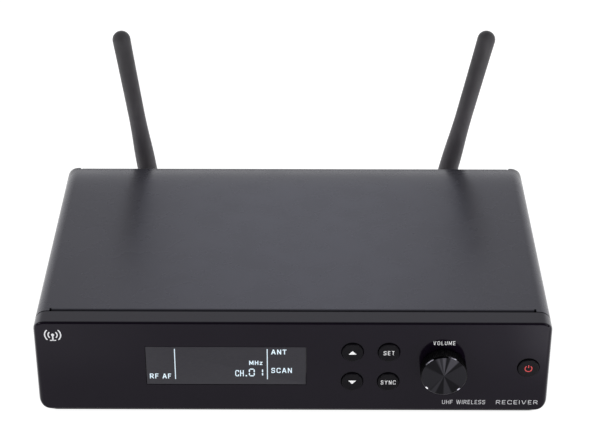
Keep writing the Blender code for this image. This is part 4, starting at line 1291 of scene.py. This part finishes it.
def cross_recess(depth, reach):
    """The cutters for a cross recess: two crossed wedges which narrow with depth."""
    wings = []
    for turned in (0, TURN / 4):
        bm = bmesh.new()
        rings = []
        for half, wide, height in ((reach, 0.38, 2), (reach, 0.38, 0), (0.35 * reach, 0.7 * 0.38, -depth)):
            rings.append(level(bm, box_outline(-half, half, -wide, wide), height))
        skinned(bm, rings)
        wings.append(finished_mesh(bm, "wing"))
        wings[-1].transform(Matrix.Rotation(turned, 4, "Z"))
    return wings


def make_screw(node, name, facing, profile, recess):
    """A screw on its CAD node's axis. profile heights are from the outer end of the node's box."""
    low, high = box(node)
    place = middle(node)
    direction = facing @ Vector((0, 0, 1))
    for i in range(3):
        if abs(direction[i]) > 0.5:
            place[i] = high[i] if direction[i] > 0 else low[i]
    screw = placed(lathe(name, profile, 40), place, facing)
    turned = facing @ Matrix.Rotation(math.radians(23), 4, "Z")
    cut(screw, *[placed(wing, place, turned) for wing in cross_recess(*recess)])
    finish_piece(screw, "screw_black", "housing", node)


def pan_profile(head, shank, length):
    """A domed head over a plain shank."""
    rise, chamfer = 1.5, 0.3
    angles = (0, 0.35, 0.7, 1, 1.25, 1.45, 1.57)
    dome = [(head * math.sin(a), -0.75 * rise * (1 - math.cos(a)) ** 1.2) for a in angles]
    stem = [(shank, -rise), (shank, -length + chamfer), (shank - chamfer, -length), (0, -length)]
    return dome + [(head, -rise)] + stem


def make_screws():
    head, thick = 2.8, SHEET - 0.05
    flush = [
        (0, 0), (head - 0.15, 0), (head, -0.15), (head, -thick), (1.4, -thick), (1.4, -6.7), (1.1, -6.95),
        (0, -6.95),
    ]
    pans = [
        ("lid_screw", "rear_lid_screw", FACING_BACK, 1, 2.6, 1.4, (1.1, 1.35)),
        ("xlr_screw", "output_screw", FACING_BACK, 1, 2.4, 1.25, (1.0, 1.2)),
        ("bezel_screw", "panel_screw", FACING_DOWN, 2, 2.4, 1.3, (1.0, 1.2)),
    ]
    for side, outward in zip(SIDES, (FACING_LEFT, FACING_RIGHT)):
        for node, name, facing, axis, wide, shank, recess in pans:
            low, high = box(f"{node}_{side}")
            profile = pan_profile(wide, shank, (high - low)[axis])
            make_screw(f"{node}_{side}", f"{name}_{side}", facing, profile, recess)
        for end in ("front", "rear"):
            make_screw(f"side_screw_{end}_{side}", f"flush_screw_{end}_{side}", outward, flush, (0.6, 1.5))


# ---------------------------------------------------------------- stage

CAMERA_PLACE = (4.6, -632.1, 427.2)
CAMERA_LENS = 108.3
# In degrees
CAMERA_PITCH = 30.83
CAMERA_YAW = 0.37
CAMERA_ROLL = -0.05


def make_camera():
    data = bpy.data.cameras.new("camera")
    data.lens = CAMERA_LENS
    data.sensor_width = 36
    data.clip_start = 10 * MM
    place = Matrix.Translation(Vector(CAMERA_PLACE) * MM)
    turn = Matrix.Rotation(math.radians(CAMERA_YAW), 4, "Z")
    pitch = Matrix.Rotation(math.radians(90 - CAMERA_PITCH), 4, "X")
    roll = Matrix.Rotation(math.radians(CAMERA_ROLL), 4, "Z")
    bpy.context.scene.camera = linked("camera", data, place @ turn @ pitch @ roll)


def make_floor():
    """A wide white floor that glows like a lit sweep, brighter to either side. Under the receiver,
    from just behind its front edge, a shadow is painted in: its colour is darkened and its glow all but put out."""
    bm = bmesh.new()
    reach = 6000
    bm.faces.new(level(bm, box_outline(-reach, reach, -reach, reach), 0))
    floor = linked("floor", finished_mesh(bm, "floor"))
    paper = Finish("floor_paper", (0.3, 0.3, 0.3), 0.9, specular=0.0)
    x, y = paper.along("X"), paper.along("Y")
    aside = paper.math("ABSOLUTE", x)
    left_and_right = paper.mapped_range(aside, 45, 108, 0, 0.48)
    right = paper.mapped_range(x, 88, 112, 0, 1.5)
    ahead = paper.mapped_range(y, FRONT - 55, FRONT - 15, 1, 0)
    sides = paper.math("MULTIPLY", paper.math("ADD", left_and_right, right), ahead)
    glow = paper.math("ADD", sides, 0.96)
    # Painted shadow under the receiver: full from 3.7 mm inside its front and back edges and within 93 mm of its
    # middle
    half_depth = lid_high.y / 2
    off_middle = paper.math("ABSOLUTE", paper.math("SUBTRACT", y, FRONT + half_depth))
    across = paper.mapped_range(aside, 93, 97, 1, 0)
    along = paper.mapped_range(off_middle, half_depth - 3.7, half_depth - 3.2, 1, 0)
    painted_shadow_mask = paper.math("MULTIPLY", across, along)
    grain = paper.noise(500, 2)
    pale = paper.ramp(grain, [(0.3, 0.29), (0.7, 0.31)])
    # The painted shadow's dark colour
    dim = paper.ramp(grain, [(0.3, 0.02), (0.7, 0.03)])
    paper.drive("Base Color", paper.mixed(painted_shadow_mask, pale, dim))
    paper.set("Emission Color", (1, 1, 1, 1))
    # The painted shadow cuts the glow to a hundredth
    shade = paper.mapped_range(painted_shadow_mask, 0, 1, 1, 0.01)
    paper.drive("Emission Strength", paper.math("MULTIPLY", glow, shade))
    floor.data.materials.append(paper.material)


def area_light(name, place, size, radiance, colour=(1, 1, 1)):
    """A rectangular light aimed at the receiver, which looks that bright seen head on."""
    data = bpy.data.lights.new(name, "AREA")
    data.shape = "RECTANGLE"
    data.size, data.size_y = (side * MM for side in size)
    data.energy = radiance * math.pi * data.size * data.size_y
    data.color = colour
    place, target = Vector(place) * MM, Vector((0, 0, MID_Z)) * MM
    aim = (target - place).to_track_quat("-Z", "Y").to_matrix().to_4x4()
    linked(name, data, Matrix.Translation(place) @ aim).visible_camera = False


def make_light():
    """A white surround behind and beside the receiver, with the dark of the room on the camera's
    side, two softboxes in front and one behind that the lid mirrors."""
    world = bpy.data.worlds.new("studio")
    bpy.context.scene.world = world
    world.use_nodes = True
    nodes = Nodes(world.node_tree)
    background = nodes.tree.nodes["Background"]
    split = nodes.node("ShaderNodeSeparateXYZ")
    nodes.link(nodes.node("ShaderNodeTexCoord").outputs["Generated"], split.inputs["Vector"])
    depth = nodes.mapped_range(split.outputs["Y"], -0.55, 0.35, 0.08, 0.55)
    height = nodes.mapped_range(split.outputs["Z"], 0.6, 0.2, 1.0, 2.0)
    nodes.link(nodes.math("MULTIPLY", depth, height), background.inputs["Strength"])
    background.inputs["Color"].default_value = (0.97, 0.98, 1, 1)
    area_light("left_softbox", (-1000, -580, 750), (450, 500), 4.0)
    area_light("right_softbox", (1000, -580, 750), (450, 500), 4.0)
    area_light("back_softbox", (0, 1600, 1050), (420, 500), 0.7, (0.78, 0.84, 1))
    bpy.context.scene.view_settings.view_transform = "Standard"


# ---------------------------------------------------------------- the whole

dress_cad_nodes()
make_camera()
make_light()
make_floor()
make_front_panel()
make_lid()
make_feet()
make_buttons()
make_knob()
make_window()
make_display_marks()
make_panel_marks()
make_button_marks()
make_rear_marks()
for antenna_side in SIDES:
    pose = antenna_axes(antenna_side)
    make_rod(antenna_side, pose)
    make_knuckle(antenna_side, pose)
    make_collar(antenna_side)
    make_bnc(antenna_side)
make_xlr()
make_jack()
make_dc_inlet()
make_hook()
make_screws()

bpy.context.view_layer.update()
